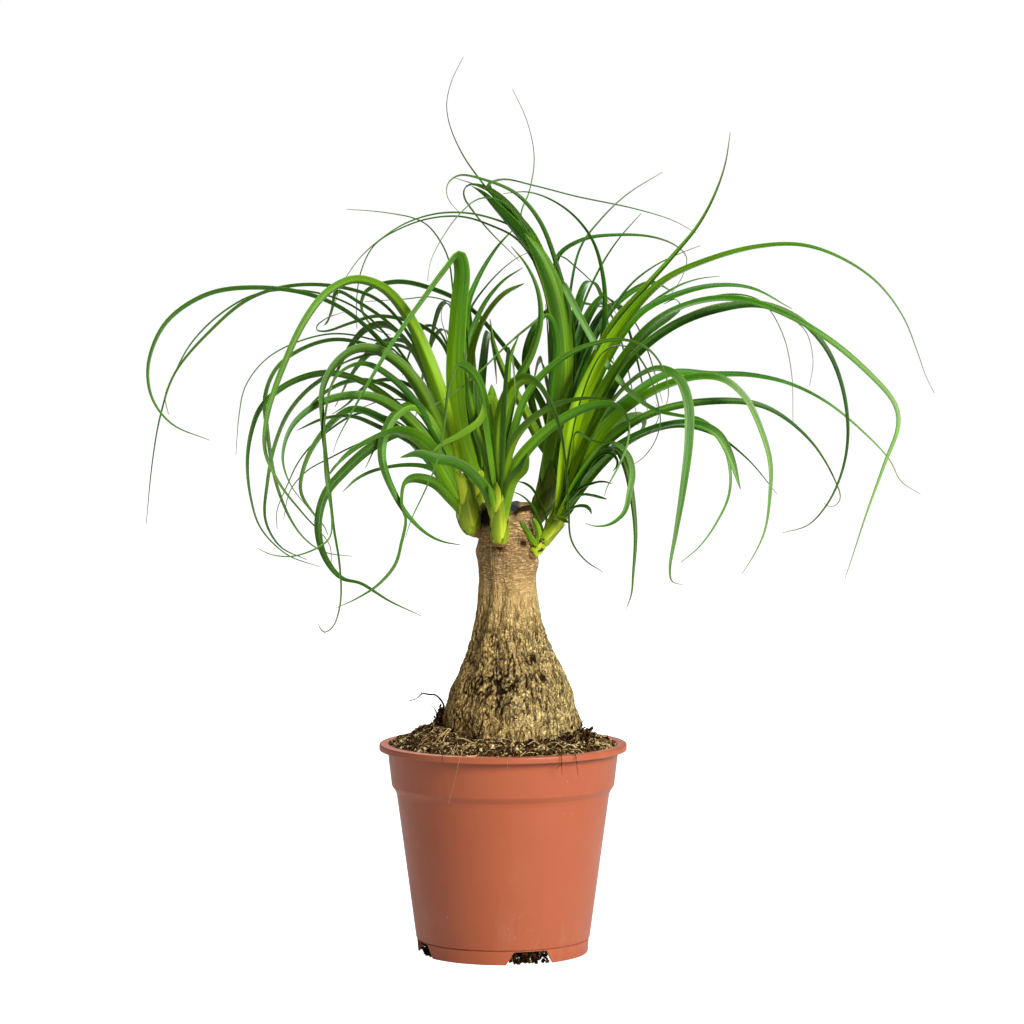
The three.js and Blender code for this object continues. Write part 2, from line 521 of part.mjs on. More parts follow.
    leaf(7, STRAP, -70, [46, 290], [59, 305], [69, 306], [75, 295], [79, 275], [81, 252],
      [79.5, 228], [78.5, 217], [75.5, 208]),
    leaf(6, STRAP, -98, [48, 294], [64, 310], [75, 304], [79, 292], [77, 278], [74, 267], [66, 260],
      [57, 258.5], [50, 260.5]),
    leaf(8, BLUNT, 14, [46, 293], [57, 309], [72, 322], [85, 325], [86, 319], [78, 311]),
    leaf(6, STRAP, -36, [48, 287], [58, 301], [66, 303], [70, 297], [67, 292]),
    leaf(3.5, THREAD, -50, [42, 300], [44, 316], [54, 311], [66, 309], [78, 311], [90, 317],
      [95, 326], [93, 334]),
    leaf(4, THREAD, -76, [46, 332], [62, 366], [76, 368], [86, 357], [93, 340], [96, 322],
      [92, 309], [85, 300], [79, 296]),
    leaf(4, BLUNT, 84, [44, 340], [62, 385], [76, 400], [91, 407], [103, 401.5]),
    leaf(4, THREAD, 80, [44, 345], [65, 388], [78, 406], [92, 417], [106, 424], [120, 429.5]),
    leaf(5, STRAP, 72, [52, 340], [80, 385], [103, 403], [118, 409], [132, 411]),
    leaf(5, STRAP, 96, [58, 336], [84, 372], [102, 386], [108, 392], [105, 397], [98, 394]),
    leaf(4, BLUNT, -24, [46, 281], [52, 284], [60, 286], [66.5, 284.5]),
    leaf(4, BLUNT, -38, [46, 277], [52, 278], [58, 276.5], [63.5, 275]),
    leaf(3.5, BLUNT, -30, [41, 269], [47, 271], [52, 270], [54, 266]),
    leaf(3.5, BLUNT, -22, [31, 264], [36, 263], [40, 260.5]),
    lowLeaf(5, BLUNT, -17, [18.5, 249], [15, 255], [10.5, 262]),
    lowLeaf(5, BLUNT, -15, [22, 253], [20.5, 259], [18, 263.5]),
    lowLeaf(6, STRAP, -4, [24, 256], [21, 264], [17, 272], [12, 277], [5, 280]),
    lowLeaf(5, BLUNT, 2, [27, 262], [24, 271], [20, 279], [15, 284], [9, 286]),
  ],
  shoot_front: [
    leaf(7, BLUNT, -58, [-9, 278], [-17, 289], [-29, 297.5], [-42, 300], [-52, 303], [-63, 300.5]),
    leaf(9.5, BLUNT, -46, [-5, 305], [-5, 324], [-9, 336], [-14, 323], [-25, 315], [-38, 308], [-43, 304]),
    leaf(6, STRAP, -108, [-8, 310], [-14, 345], [-22, 356], [-28, 357], [-33, 346], [-36, 322],
      [-40, 300], [-48, 280], [-56, 263], [-60, 251]),
    leaf(8, STRAP, -120, [-3, 305], [-1, 328], [6, 344], [14, 349], [22, 345], [30, 332], [36, 316],
      [39, 296], [40.5, 270], [42, 250], [50, 238], [61, 230.5]),
    leaf(7, STRAP, -74, [3, 303], [9, 315], [20, 326], [36, 334], [54, 337], [69, 335]),
    leaf(8, STRAP, -92, [6, 292], [20, 311], [38, 325], [56, 332.5], [70, 332], [77, 323], [76, 309],
      [70, 294], [64, 283], [62, 277]),
    leaf(8, BLUNT, -50, [5, 286], [12, 294], [15.5, 303]),
    leaf(4.5, BLUNT, -34, [-5, 272], [-8.5, 284]),
    leaf(6, STRAP, -64, [6, 314], [13, 336], [22, 349], [36, 361], [52, 369], [72, 372.5],
      [88, 367], [98, 354], [101, 340], [99, 330]),
    leaf(6, STRAP, -36, [1, 312], [8, 345], [18, 365], [23, 385], [21, 403], [14, 418], [5, 429]),
    leaf(9, BLUNT, -32, [-4, 305], [-6, 326], [-7, 345]),
    leaf(8, STRAP, -40, [-10, 303], [-17, 322], [-21, 342], [-24, 366]),
    leaf(7, STRAP, -30, [-2, 310], [2, 336], [4, 360], [10, 376]),
  ],
};

// More leaves on each shoot, at the sides and back that the front view hides: each runs out on its
// own bearing, rises to the top of its arch and droops, with its numbers drawn from a fixed row
function fillerLeaves(name, draw) {
  const { count, from, to } = FILLERS[name];
  const [rootX, rootY, rootZ] = SHOOTS[name].at(-1);
  return Array.from({ length: count }, (_, number) => {
    const bearing = radians(from + (to - from) * (number + 0.2 + 0.6 * draw()) / count);
    const reach = 70 + 105 * draw();
    const rise = 50 + 62 * draw();
    const top = 0.5 + 0.12 * draw();
    const width = 5 + 3.5 * draw();
    const through = [0.16, 0.34, 0.52, 0.7, 0.86, 1].map((along) => {
      const height = rise * (1 - ((along - top) / top) ** 2);
      return toView(
        rootX + reach * along * Math.cos(bearing), rootY + reach * along * Math.sin(bearing), rootZ + height);
    });
    return { width, taper: STRAP, through };
  });
}

// From a place in the view plane, x and z, at depth y, to the real point, and back
const fromView = ([x, z, y]) => {
  const scale = (VIEW_DISTANCE + y) / VIEW_DISTANCE;
  return new THREE.Vector3(VIEW_X + (x - VIEW_X) * scale, y, VIEW_Z + (z - VIEW_Z) * scale);
};
const toView = (x, y, z) => {
  const scale = (VIEW_DISTANCE + y) / VIEW_DISTANCE;
  return [VIEW_X + (x - VIEW_X) / scale, VIEW_Z + (z - VIEW_Z) / scale, y];
};

// A leaf's route as points 5 mm apart in the view plane: its root on the stem, then the points that
// it runs through, each deeper than the last by an equal share of the way to the tip's depth
function sampleRoute(stem, place, { through, depth }) {
  const step = Math.min(Math.floor(place * (stem.length - 1)), stem.length - 2);
  const part = place * (stem.length - 1) - step;
  const root = stem[step].slice(0, 3).map((value, k) => THREE.MathUtils.lerp(value, stem[step + 1][k], part));
  const start = toView(...root);
  const knots = through.map(([x, z, y], k) => new THREE.Vector3(
    x, z, y ?? THREE.MathUtils.lerp(start[2], depth, (k + 1) / through.length)));
  const curve = new THREE.CatmullRomCurve3([new THREE.Vector3(...start), ...knots], false, 'centripetal');
  curve.arcLengthDivisions = 16 * knots.length;
  const count = Math.max(6, Math.ceil(curve.getLength() / SAMPLE_STEP));
  return curve.getSpacedPoints(count);
}

// The width of a leaf part-way along it
const widthAt = ({ width, taper }, along) => (
  TIP_WIDTH + (width - TIP_WIDTH) * (1 - along ** taper) * Math.min(1, 0.6 + 2.6 * along));

// Leaves of two shoots that pass in front of each other are bent clear: where they cross in the
// view, both are moved apart in depth until there is room for their blades. Roots stay put.
function bendClear(leaves) {
  const near = [];
  leaves.forEach((one, first) => {
    for (const other of leaves.slice(first + 1).filter(({ shoot }) => shoot !== one.shoot)) {
      one.route.forEach((point, k) => {
        other.route.forEach((facing, m) => {
          const wide = (one.widths[k] + other.widths[m]) / 2;
          const free = Math.max(one.free[k], other.free[m]);
          if (free > 0 && Math.hypot(point.x - facing.x, point.y - facing.y) < wide + 1.5) {
            near.push([one, k, other, m, 0.7 * wide + 1.4]);
          }
        });
      });
    }
  });
  for (let round = 0; round < CLEAR_ROUNDS; round += 1) {
    for (const item of leaves) item.push = new Float64Array(item.route.length);
    for (const item of leaves) item.hits = new Float64Array(item.route.length).fill(1);
    for (const [one, k, other, m, room] of near) {
      const apart = one.route[k].z - other.route[m].z;
      const lack = room - Math.abs(apart);
      if (lack > 0) {
        const move = lack / 2 * (apart < 0 ? -1 : 1);
        one.push[k] += move;
        one.hits[k] += 1;
        other.push[m] -= move;
        other.hits[m] += 1;
      }
    }
    for (const item of leaves) {
      let push = Array.from(item.push, (move, k) => PUSH * move / item.hits[k]);
      for (let smooth = 0; smooth < 3; smooth += 1) {
        push = push.map((move, k) => (
          0.25 * (push[k - 1] ?? move) + 0.5 * move + 0.25 * (push[k + 1] ?? move)));
      }
      item.route.forEach((point, k) => {
        point.z += push[k] * item.free[k];
      });
    }
  }
}

// A blade: a shallow keel of three edges, carried along the route and turned slowly about it. It
// faces the viewer most near its foot, where it clasps the stem, and lies flatter as it arches.
// The leaves that come forward to the right are turned by the other hand, so they show a face too.
function makeBlade(item) {
  const points = item.route.map(({ x, y, z }) => fromView([x, y, z]));
  const last = points.length - 1;
  const heading = (k) => points[Math.min(k + 1, last)].clone().sub(points[Math.max(k - 1, 0)]).normalize();
  const stops = [0];
  let turned = 0;
  for (let k = 1; k < last; k += 1) {
    turned += heading(k).angleTo(heading(k - 1));
    if (turned > radians(SEGMENT_TURN) || (k - stops.at(-1)) * SAMPLE_STEP > SEGMENT_LENGTH) {
      stops.push(k);
      turned = 0;
    }
  }
  stops.push(last);
  const out = points[last].clone().sub(points[0]).setZ(0).normalize();
  let side = new THREE.Vector3(-out.y, out.x, 0);
  const hand = item.shoot === 'shoot_front' && out.x > 0 ? -1 : 1;
  const rings = [];
  for (let k = 0; k <= last; k += 1) {
    const along = heading(k);
    side = side.sub(along.clone().multiplyScalar(side.dot(along))).normalize();
    if (stops.includes(k)) {
      const facing = FOOT_ROLL * (1 - THREE.MathUtils.smoothstep(k / last, 0.08, 0.38));
      const roll = radians(hand * (item.roll + facing) + item.twist * k / last);
      const across = side.clone().applyAxisAngle(along, roll);
      const under = across.clone().cross(along);
      const half = widthAt(item, k / last) / 2;
      rings.push([
        points[k].clone().addScaledVector(across, half),
        points[k].clone().addScaledVector(across, -half),
        points[k].clone().addScaledVector(under, Math.min(KEEL, 0.7 + half * 0.12)),
      ]);
    }
  }
  return toSolid(loft(rings));
}

// How steeply a leaf sets out: the lowest leaves of a shoot lie out flat and the topmost stand up
function climbOf(stem, { through: [[x, z, y]] }) {
  const [rootX, rootY, rootZ] = stem[1];
  return Math.atan2(z - rootZ, Math.hypot(x - rootX, (y ?? rootY) - rootY));
}

function placeLeaves() {
  const draw = makeDraw(LEAF_SEED);
  const leaves = [];
  for (const name of Object.keys(SHOOTS)) {
    const all = [...LEAVES[name], ...fillerLeaves(name, draw)];
    const climb = all.map((item) => climbOf(SHOOTS[name], item));
    all.forEach((item, number) => {
      const lower = climb.filter((other) => other < climb[number]).length;
      const place = item.low ? LOW_PLACE : ROOT_LOWEST + (1 - ROOT_LOWEST) * lower / all.length;
      const route = sampleRoute(SHOOTS[name], place, item);
      const length = route.length * SAMPLE_STEP;
      const last = route.length - 1;
      leaves.push({
        ...item,
        shoot: name,
        route,
        widths: route.map((_, k) => widthAt(item, k / last)),
        free: route.map((_, k) => THREE.MathUtils.smoothstep(k / last * length, 3, FREE_LENGTH)),
        roll: LEAF_ROLL + LEAF_ROLL_SPREAD * (2 * draw() - 1),
        twist: LEAF_TWIST * (2 * draw() - 1),
      });
    });
  }
  bendClear(leaves);
  return leaves;
}

const plant = new THREE.Group();
plant.name = 'potted_ponytail_palm';
plant.add(toMesh('pot', makePot(), terracotta));
plant.add(toMesh('soil', makeSoil(), soilBrown));
plant.add(toMesh('trunk', makeTrunk(0), bark));

const leaves = placeLeaves();
const seat = makeTrunk(GAP);
for (const [name, middles] of Object.entries(SHOOTS)) {
  let shoot = makeStem(middles).subtract(seat);
  for (const item of leaves.filter(({ shoot: owner }) => owner === name)) {
    shoot = shoot.add(makeBlade(item));
  }
  plant.add(toMesh(name, shoot.subtract(seat), leafGreen));
}

export default plant;
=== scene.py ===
"""A ponytail palm in a plastic nursery pot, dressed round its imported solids.

Shapes are worked out in millimetres, in the part's own frame, and become metres as meshes are made.
+Z is up, the origin is on the pot's axis at the surface it stands on, and the front faces -Y.
"""

import functools

import bpy
import numpy as np
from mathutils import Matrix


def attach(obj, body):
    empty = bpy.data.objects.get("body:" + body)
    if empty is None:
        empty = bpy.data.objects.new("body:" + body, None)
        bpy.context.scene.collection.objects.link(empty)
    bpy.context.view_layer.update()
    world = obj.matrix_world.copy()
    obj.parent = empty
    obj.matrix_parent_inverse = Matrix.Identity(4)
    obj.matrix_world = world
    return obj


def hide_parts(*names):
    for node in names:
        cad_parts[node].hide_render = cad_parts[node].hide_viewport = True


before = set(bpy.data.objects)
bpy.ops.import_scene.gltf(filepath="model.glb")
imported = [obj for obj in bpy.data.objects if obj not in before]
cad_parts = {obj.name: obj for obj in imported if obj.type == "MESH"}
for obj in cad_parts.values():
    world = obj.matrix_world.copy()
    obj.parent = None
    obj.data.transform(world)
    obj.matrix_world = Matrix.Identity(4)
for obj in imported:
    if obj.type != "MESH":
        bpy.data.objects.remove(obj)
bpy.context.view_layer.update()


# The view. The plant was taken from the front, from a little under the middle of its crown, with a
# long lens tilted slightly down, so the pot's mouth shows as a thin ellipse. Heights are counted from
# a little above the ground, and every mesh and the camera are lifted by as much.
VIEW_DISTANCE = 2100
VIEW_X = 5.5
VIEW_Z = 377
VIEW_TILT = 2.9935
LENS = 121.05
SENSOR = 36
GROUND = -2.5
FARTHEST_SEEN = 30

camera_data = bpy.data.cameras.new("view")
camera_data.lens = LENS
camera_data.sensor_width = SENSOR
camera_data.clip_end = FARTHEST_SEEN
camera = bpy.data.objects.new("view", camera_data)
camera.location = (VIEW_X / 1000, -VIEW_DISTANCE / 1000, (VIEW_Z - GROUND) / 1000)
camera.rotation_euler = (np.radians(90 - VIEW_TILT), 0, 0)
bpy.context.scene.collection.objects.link(camera)
bpy.context.scene.camera = camera
bpy.context.scene.view_settings.view_transform = "Standard"


# The studio. A white floor runs into a white room, lit by one large soft window to the right of
# the viewer, a weaker one to the left, and one from behind and above that lights the leaves' backs.
FLOOR_REACH = 12
FLOOR_ROUGHNESS = 0.9
FLOOR_GREY = (0.5, 0.5, 0.5, 1)
FLOOR_SEEN = 1.0
FLOOR_GLOW = 0.16
WHITE = (1, 1, 1, 1)
ROOM_SEEN = 1.0
ROOM_LIGHT = 0.18
LAMPS = {
    "window_right": ((1.5, -1.7, 1.25), (0, 0, 0.28), 1.0, 96),
    "window_left": ((-1.9, -1.2, 0.9), (0, 0, 0.3), 1.2, 2.5),
    "light_behind": ((-0.4, 1.6, 1.9), (0, 0, 0.35), 1.2, 40),
}


def node(tree, kind, values=None, **settings):
    """A new shader node. values gives its sockets a number, a colour or another node's output."""
    new = tree.nodes.new("ShaderNode" + kind)
    for name, value in settings.items():
        setattr(new, name, value)
    for name, value in (values or {}).items():
        value = getattr(value, "socket", value)
        if isinstance(value, bpy.types.NodeSocket):
            tree.links.new(value, new.inputs[name])
        else:
            new.inputs[name].default_value = value
    return new


def finish_of(name, **plain):
    """A new material, with plain values set on its surface shader."""
    material = bpy.data.materials.new(name)
    material.use_nodes = True
    surface = material.node_tree.nodes["Principled BSDF"]
    for socket, value in plain.items():
        surface.inputs[socket.replace("_", " ")].default_value = value
    return material


# A lamp is a square one at a place in metres, turned to face its aim.
for name, (place, aim, size, watts) in LAMPS.items():
    lamp = bpy.data.lights.new(name, "AREA")
    lamp.size = size
    lamp.energy = watts
    stand = bpy.data.objects.new(name, lamp)
    stand.location = place
    away = np.subtract(place, aim)
    tip = np.arctan2(np.hypot(away[0], away[1]), away[2])
    stand.rotation_euler = (tip, 0, np.arctan2(away[1], away[0]) + np.pi / 2)
    bpy.context.scene.collection.objects.link(stand)

room = bpy.data.worlds.new("white_room")
room.use_nodes = True
bpy.context.scene.world = room
tree = room.node_tree
seen, lit = (
    node(tree, "Background", {"Color": WHITE, "Strength": strength}) for strength in (ROOM_SEEN, ROOM_LIGHT))
ray = node(tree, "LightPath").outputs["Is Camera Ray"]
choice = node(tree, "MixShader", {"Fac": ray, 1: lit.outputs[0], 2: seen.outputs[0]})
tree.links.new(choice.outputs[0], tree.nodes["World Output"].inputs["Surface"])

floor_white = finish_of(
    "floor_white", Base_Color=FLOOR_GREY, Roughness=FLOOR_ROUGHNESS, Emission_Color=WHITE)
tree = floor_white.node_tree
ray = node(tree, "LightPath").outputs["Is Camera Ray"]
glow = node(tree, "MapRange", {"Value": ray, "To Min": FLOOR_GLOW, "To Max": FLOOR_SEEN})
tree.links.new(glow.outputs[0], tree.nodes["Principled BSDF"].inputs["Emission Strength"])
floor_mesh = bpy.data.meshes.new("floor")
floor_mesh.from_pydata(
    [(x * FLOOR_REACH, y * FLOOR_REACH, 0) for x, y in ((-1, -1), (1, -1), (1, 1), (-1, 1))], [],
    [(0, 1, 2, 3)])
floor_mesh.materials.append(floor_white)
floor = bpy.data.objects.new("floor", floor_mesh)
bpy.context.scene.collection.objects.link(floor)


# The pot. A 15 cm nursery pot, moulded in one piece from terracotta-coloured plastic: an out-turned
# rim with a skirt, a collar, a step ring, a tapering wall, and a foot cut by four drainage notches.
# The wall is one turned profile with softened corners. The notches and drain holes are cut from it.
def places(x, y, z):
    """Points from their three coordinates, each a number or an array."""
    return np.stack(np.broadcast_arrays(x, y, z), -1)


def swung(out, aside, turn):
    """Level coordinates of a spot that lies some way out and aside, on a turn about the Z axis."""
    return out * np.cos(turn) - aside * np.sin(turn), out * np.sin(turn) + aside * np.cos(turn)


def circle(count):
    """Turns evenly spaced round a full circle, in radians."""
    return np.linspace(0, 2 * np.pi, count, endpoint=False)


def closed_skin(name, grids, marks=None, sharp=40):
    """A mesh of closed tubes. grids holds tubes, rows, columns and xyz in millimetres: the columns run
    round a tube and join up, the rows run along it, and a fan to the middle closes each end ring. marks
    holds named numbers for every grid point, kept as point attributes. U runs round and V runs along."""
    grids = np.asarray(grids, float)
    grids = grids[None] if grids.ndim == 3 else grids
    tubes, rows, columns, _ = grids.shape
    index = np.arange(tubes * rows * columns).reshape(tubes, rows, columns)

    def with_middles(values):
        """A value for every grid point, then the mean of every first ring and of every last one."""
        size = values.size // index.size
        ends = [values[:, row].mean(1).reshape(tubes, size) for row in (0, -1)]
        return np.concatenate([values.reshape(-1, size), *ends])

    def corners(here, ahead, first, last):
        """Values at the corners of the faces: the quads between rows, then the fans at both ends."""
        quads = np.stack([here[:, :-1], ahead[:, :-1], ahead[:, 1:], here[:, 1:]], -1).reshape(-1, 4)
        fans = [(ahead[:, 0], here[:, 0], first), (here[:, -1], ahead[:, -1], last)]
        return quads, np.stack([np.stack(fan, -1) for fan in fans]).reshape(-1, 3)

    points = with_middles(grids)
    middles = np.broadcast_to(index.size + np.arange(2 * tubes).reshape(2, tubes, 1), (2, tubes, columns))
    quads, fans = corners(index, np.roll(index, -1, 2), *middles)
    a, b, c, d = (points[quads[:, corner]] for corner in range(4))
    way = -1 if np.einsum("ij,ij->", a, np.cross(b, c) + np.cross(c, d)) < 0 else 1
    points[:, 2] -= GROUND
    mesh = bpy.data.meshes.new(name)
    mesh.from_pydata((points / 1000).tolist(), [], quads[:, ::way].tolist() + fans[:, ::way].tolist())
    u = np.broadcast_to(np.arange(columns) / columns, index.shape)
    v = np.broadcast_to(np.arange(rows)[:, None] / (rows - 1), index.shape)
    sides = zip(corners(u, u + 1 / columns, u[:, 0], u[:, -1]), corners(v, v, v[:, 0], v[:, -1]))
    flat = np.concatenate([np.stack([side_u, side_v], -1)[:, ::way].ravel() for side_u, side_v in sides])
    mesh.uv_layers.new(name="UVMap").data.foreach_set("uv", flat.astype(np.float32))
    for title, values in (marks or {}).items():
        values = with_middles(np.broadcast_to(values, index.shape)).ravel().astype(np.float32)
        mesh.attributes.new(title, "FLOAT", "POINT").data.foreach_set("value", values)
    mesh.shade_smooth()
    mesh.set_sharp_from_angle(angle=np.radians(sharp))
    piece = bpy.data.objects.new(name, mesh)
    bpy.context.scene.collection.objects.link(piece)
    return piece


def softened(corners, steps=6):
    """An outline whose corners are eased: each row gives a corner and how far its bend reaches along
    both sides, and the bend is the quadratic curve between those two points."""
    spots, reach = np.split(np.asarray(corners, float), [2], 1)
    before, after = np.roll(spots, 1, 0) - spots, np.roll(spots, -1, 0) - spots
    before *= reach / np.linalg.norm(before, axis=1, keepdims=True)
    after *= reach / np.linalg.norm(after, axis=1, keepdims=True)
    t = np.linspace(0, 1, steps)[None, :, None]
    bend = spots[:, None] + (1 - t) ** 2 * before[:, None] + t ** 2 * after[:, None]
    return bend.reshape(-1, 2)


def turned_about_axis(outline, columns):
    """A profile of radius and height, carried round the Z axis."""
    return places(*swung(outline[:, :1], 0, circle(columns)), outline[:, 1:])


CUT_SHARP = np.radians(35)


def cut_from(piece, cutters):
    """Cuts the cutters out of the piece, for good, and removes them."""
    for cutter in cutters:
        change = piece.modifiers.new("cut", "BOOLEAN")
        change.operation = "DIFFERENCE"
        change.solver = "MANIFOLD"
        change.object = cutter
    result = piece.evaluated_get(bpy.context.evaluated_depsgraph_get())
    mesh = bpy.data.meshes.new_from_object(result)
    piece.modifiers.clear()
    old, piece.data = piece.data, mesh
    for leftover in (old, *(cutter.data for cutter in cutters)):
        bpy.data.meshes.remove(leftover)
    mesh.materials.clear()
    mesh.shade_smooth()
    mesh.set_sharp_from_angle(angle=CUT_SHARP)


class Shade:
    """A value or colour in a material. A sum written with it becomes a maths node."""

    def __init__(self, socket):
        self.socket = socket
        self.tree = socket.id_data

    def __add__(self, other):
        return maths("ADD", self, other)

    def __sub__(self, other):
        return maths("SUBTRACT", self, other)

    def __rsub__(self, other):
        return maths("SUBTRACT", other, self)

    def __mul__(self, other):
        return maths("MULTIPLY", self, other)


def worked(kind, values, out=0, **settings):
    """A node's output as a shade. The node goes into the tree of the shades among its values."""
    tree = next(value.tree for value in values.values() if isinstance(value, Shade))
    return Shade(node(tree, kind, values, **settings).outputs[out])


def maths(operation, *values):
    """The result of one sum."""
    return worked("Math", dict(enumerate(values)), operation=operation)


def axis(place, name):
    """One of a place's three coordinates."""
    return worked("SeparateXYZ", {"Vector": place}, name)


def blend(factor, under, over, kind="MIX"):
    """One colour laid over another, by a mask from 0 to 1."""
    return worked("Mix", {0: factor, 6: under, 7: over}, 2, data_type="RGBA", blend_type=kind)


def layered(colour, *layers):
    """A colour with others laid over it in turn, each by its own mask."""
    for mask, over in layers:
        colour = blend(mask, colour, over)
    return colour


def span(value, low, high):
    """A mask that rises from 0 to 1 as the value goes from low to high."""
    return worked("MapRange", {"Value": value, "From Min": low, "From Max": high})


def grain(where, scale, detail=4.0, rough=0.55, stretch=None):
    """Cloudy noise from 0 to 1 on given coordinates, drawn out along an axis where stretch says so."""
    if stretch:
        where = worked("Mapping", {"Vector": where, "Scale": stretch})
    return worked("TexNoise", {"Vector": where, "Scale": scale, "Detail": detail, "Roughness": rough})


def place_in(material, kind="Object"):
    """Where each spot of the surface is, in metres in the part's own frame, or on the UV map."""
    return Shade(node(material.node_tree, "TexCoord").outputs[kind])


def marked(material, *titles):
    """Shades of the point attributes with these names."""
    return [Shade(node(material.node_tree, "Attribute", attribute_name=title).outputs["Fac"])
            for title in titles]


def dress(material, colour, height, distance, strength=1.0, rough=None):
    """Gives a material its colour and raises it by a height from 0 to 1, over a distance in metres."""
    surface = material.node_tree.nodes["Principled BSDF"]
    bump = worked("Bump", {"Height": height, "Distance": distance, "Strength": strength})
    for socket, shade in (("Base Color", colour), ("Normal", bump), ("Roughness", rough)):
        if shade:
            material.node_tree.links.new(shade.socket, surface.inputs[socket])


def effect(name, kinds, work):
    """A node group. kinds gives its inputs' names and kinds, and work makes its outputs from them."""
    group = bpy.data.node_groups.new(name, "ShaderNodeTree")
    for title, kind in kinds.items():
        group.interface.new_socket(title, in_out="INPUT", socket_type="NodeSocket" + kind)
    inputs = group.nodes.new("NodeGroupInput").outputs
    results = work(**{title: Shade(inputs[title]) for title in kinds})
    for title in results:
        kind = "NodeSocketColor" if title == "colour" else "NodeSocketFloat"
        group.interface.new_socket(title, in_out="OUTPUT", socket_type=kind)
    outputs = group.nodes.new("NodeGroupOutput").inputs
    for title, shade in results.items():
        group.links.new(shade.socket, outputs[title])
    return group


def speckled(place, size, share):
    """Small loose specks, by their spacing in millimetres and how far they spread."""
    cells = {"Vector": place, "Scale": maths("DIVIDE", 1000.0, size), "Randomness": 1.0}
    near = span(grain(place, 45.0, 3.0), 0.42, 0.75) * share - worked("TexVoronoi", cells, "Distance")
    return {"mask": span(near, 0.0, 0.08)}


flecks = effect("flecks", {"place": "Vector", "size": "Float", "share": "Float"}, speckled)


def flecks_on(place, size, share):
    """A mask of flecks."""
    return worked("Group", {"place": place, "size": size, "share": share}, "mask", node_tree=flecks)


RIM_RADIUS = 75.8
RIM_TOP = 125.7
RIM_UNDER = 121.7
LIP = 124.1
WALL = 1.4
COLLAR_TOP = 71
COLLAR_FOOT = 68.2
COLLAR_BASE = 100
STEP = 65.8
STEP_HEIGHT = 96.5
WALL_TOP = 65.1
WALL_HEIGHT = 94
WALL_FOOT = 53.3
FOOT = 52.1
FLOOR_UNDER = 6.1
FLOOR = 1.6
FLOOR_TOP = FLOOR_UNDER + FLOOR
PAD = 22
POT_COLUMNS = 360
POT_PROFILE = [
    (PAD, GROUND, 0.4), (PAD + 2, FLOOR_UNDER, 0.8), (FOOT - WALL, FLOOR_UNDER, 0.8),
    (FOOT - WALL, GROUND, 0.3), (FOOT, GROUND, 0.4), (FOOT + 0.7, 5.7, 0.12), (FOOT + 0.1, 5.9, 0.05),
    (FOOT + 0.1, 6.4, 0.05), (WALL_FOOT, 6.6, 0.25), (WALL_TOP, WALL_HEIGHT, 0.5), (STEP, STEP_HEIGHT, 0.4),
    (COLLAR_FOOT, COLLAR_BASE, 0.6), (COLLAR_TOP, LIP, 0.5), (RIM_RADIUS - 1.6, LIP, 0.4),
    (RIM_RADIUS - 1.6, RIM_UNDER, 0.3), (RIM_RADIUS, RIM_UNDER, 0.5), (RIM_RADIUS, RIM_TOP, 1.2),
    (COLLAR_TOP - 1.0, RIM_TOP, 0.8), (COLLAR_TOP - WALL, LIP, 0.4), (COLLAR_FOOT - WALL, COLLAR_BASE, 1.0),
    (STEP - WALL, STEP_HEIGHT, 0.8), (WALL_TOP - WALL, WALL_HEIGHT, 0.8), (WALL_FOOT - WALL, FLOOR_TOP, 0.3),
    (PAD - WALL + 2, FLOOR_TOP, 0.6), (PAD - WALL, GROUND + FLOOR, 0.4),
]
NOTCHES = 4
NOTCH_TURN = 18.6
NOTCH_FOOT_WIDTH = 31
NOTCH_TOP_WIDTH = 20.5
NOTCH_TOP = 5.5
DRAINS = 8
DRAIN_RADIUS = 3.5
DRAIN_RING = 36

pot = closed_skin("pot_skin", turned_about_axis(softened(POT_PROFILE), POT_COLUMNS))

# A notch cutter is a wedge-sided block through the foot's wall, and a drain cutter is a short rod.
notch_aside = np.array([-NOTCH_FOOT_WIDTH, NOTCH_FOOT_WIDTH, NOTCH_TOP_WIDTH, -NOTCH_TOP_WIDTH]) / 2
notch_rise = np.array([GROUND - 1, GROUND - 1, NOTCH_TOP, NOTCH_TOP])
notch_turns = np.radians(NOTCH_TURN - 90 + 360 / NOTCHES * np.arange(NOTCHES))[:, None, None]
notch_out = np.array([FOOT * 0.75, FOOT * 1.25])[:, None]
notch_blocks = places(*swung(notch_out, notch_aside, notch_turns), notch_rise)
drain_turns = 2 * np.pi * (np.arange(DRAINS) + 0.5)[:, None, None] / DRAINS
drain_round = circle(32)
drain_rods = places(
    DRAIN_RING * np.cos(drain_turns) + DRAIN_RADIUS * np.cos(drain_round),
    DRAIN_RING * np.sin(drain_turns) + DRAIN_RADIUS * np.sin(drain_round),
    FLOOR_UNDER + FLOOR / 2 + np.array([-2, 2])[:, None] * FLOOR)
cut_from(pot, [closed_skin("notch_cutter", notch_blocks), closed_skin("drain_cutter", drain_rods)])

TERRACOTTA = (0.36, 0.083, 0.030, 1)
TERRACOTTA_PALE = (0.385, 0.098, 0.040, 1)
TERRACOTTA_DUST = (0.62, 0.40, 0.30, 1)
SOIL_SMEAR = (0.16, 0.07, 0.035, 1)

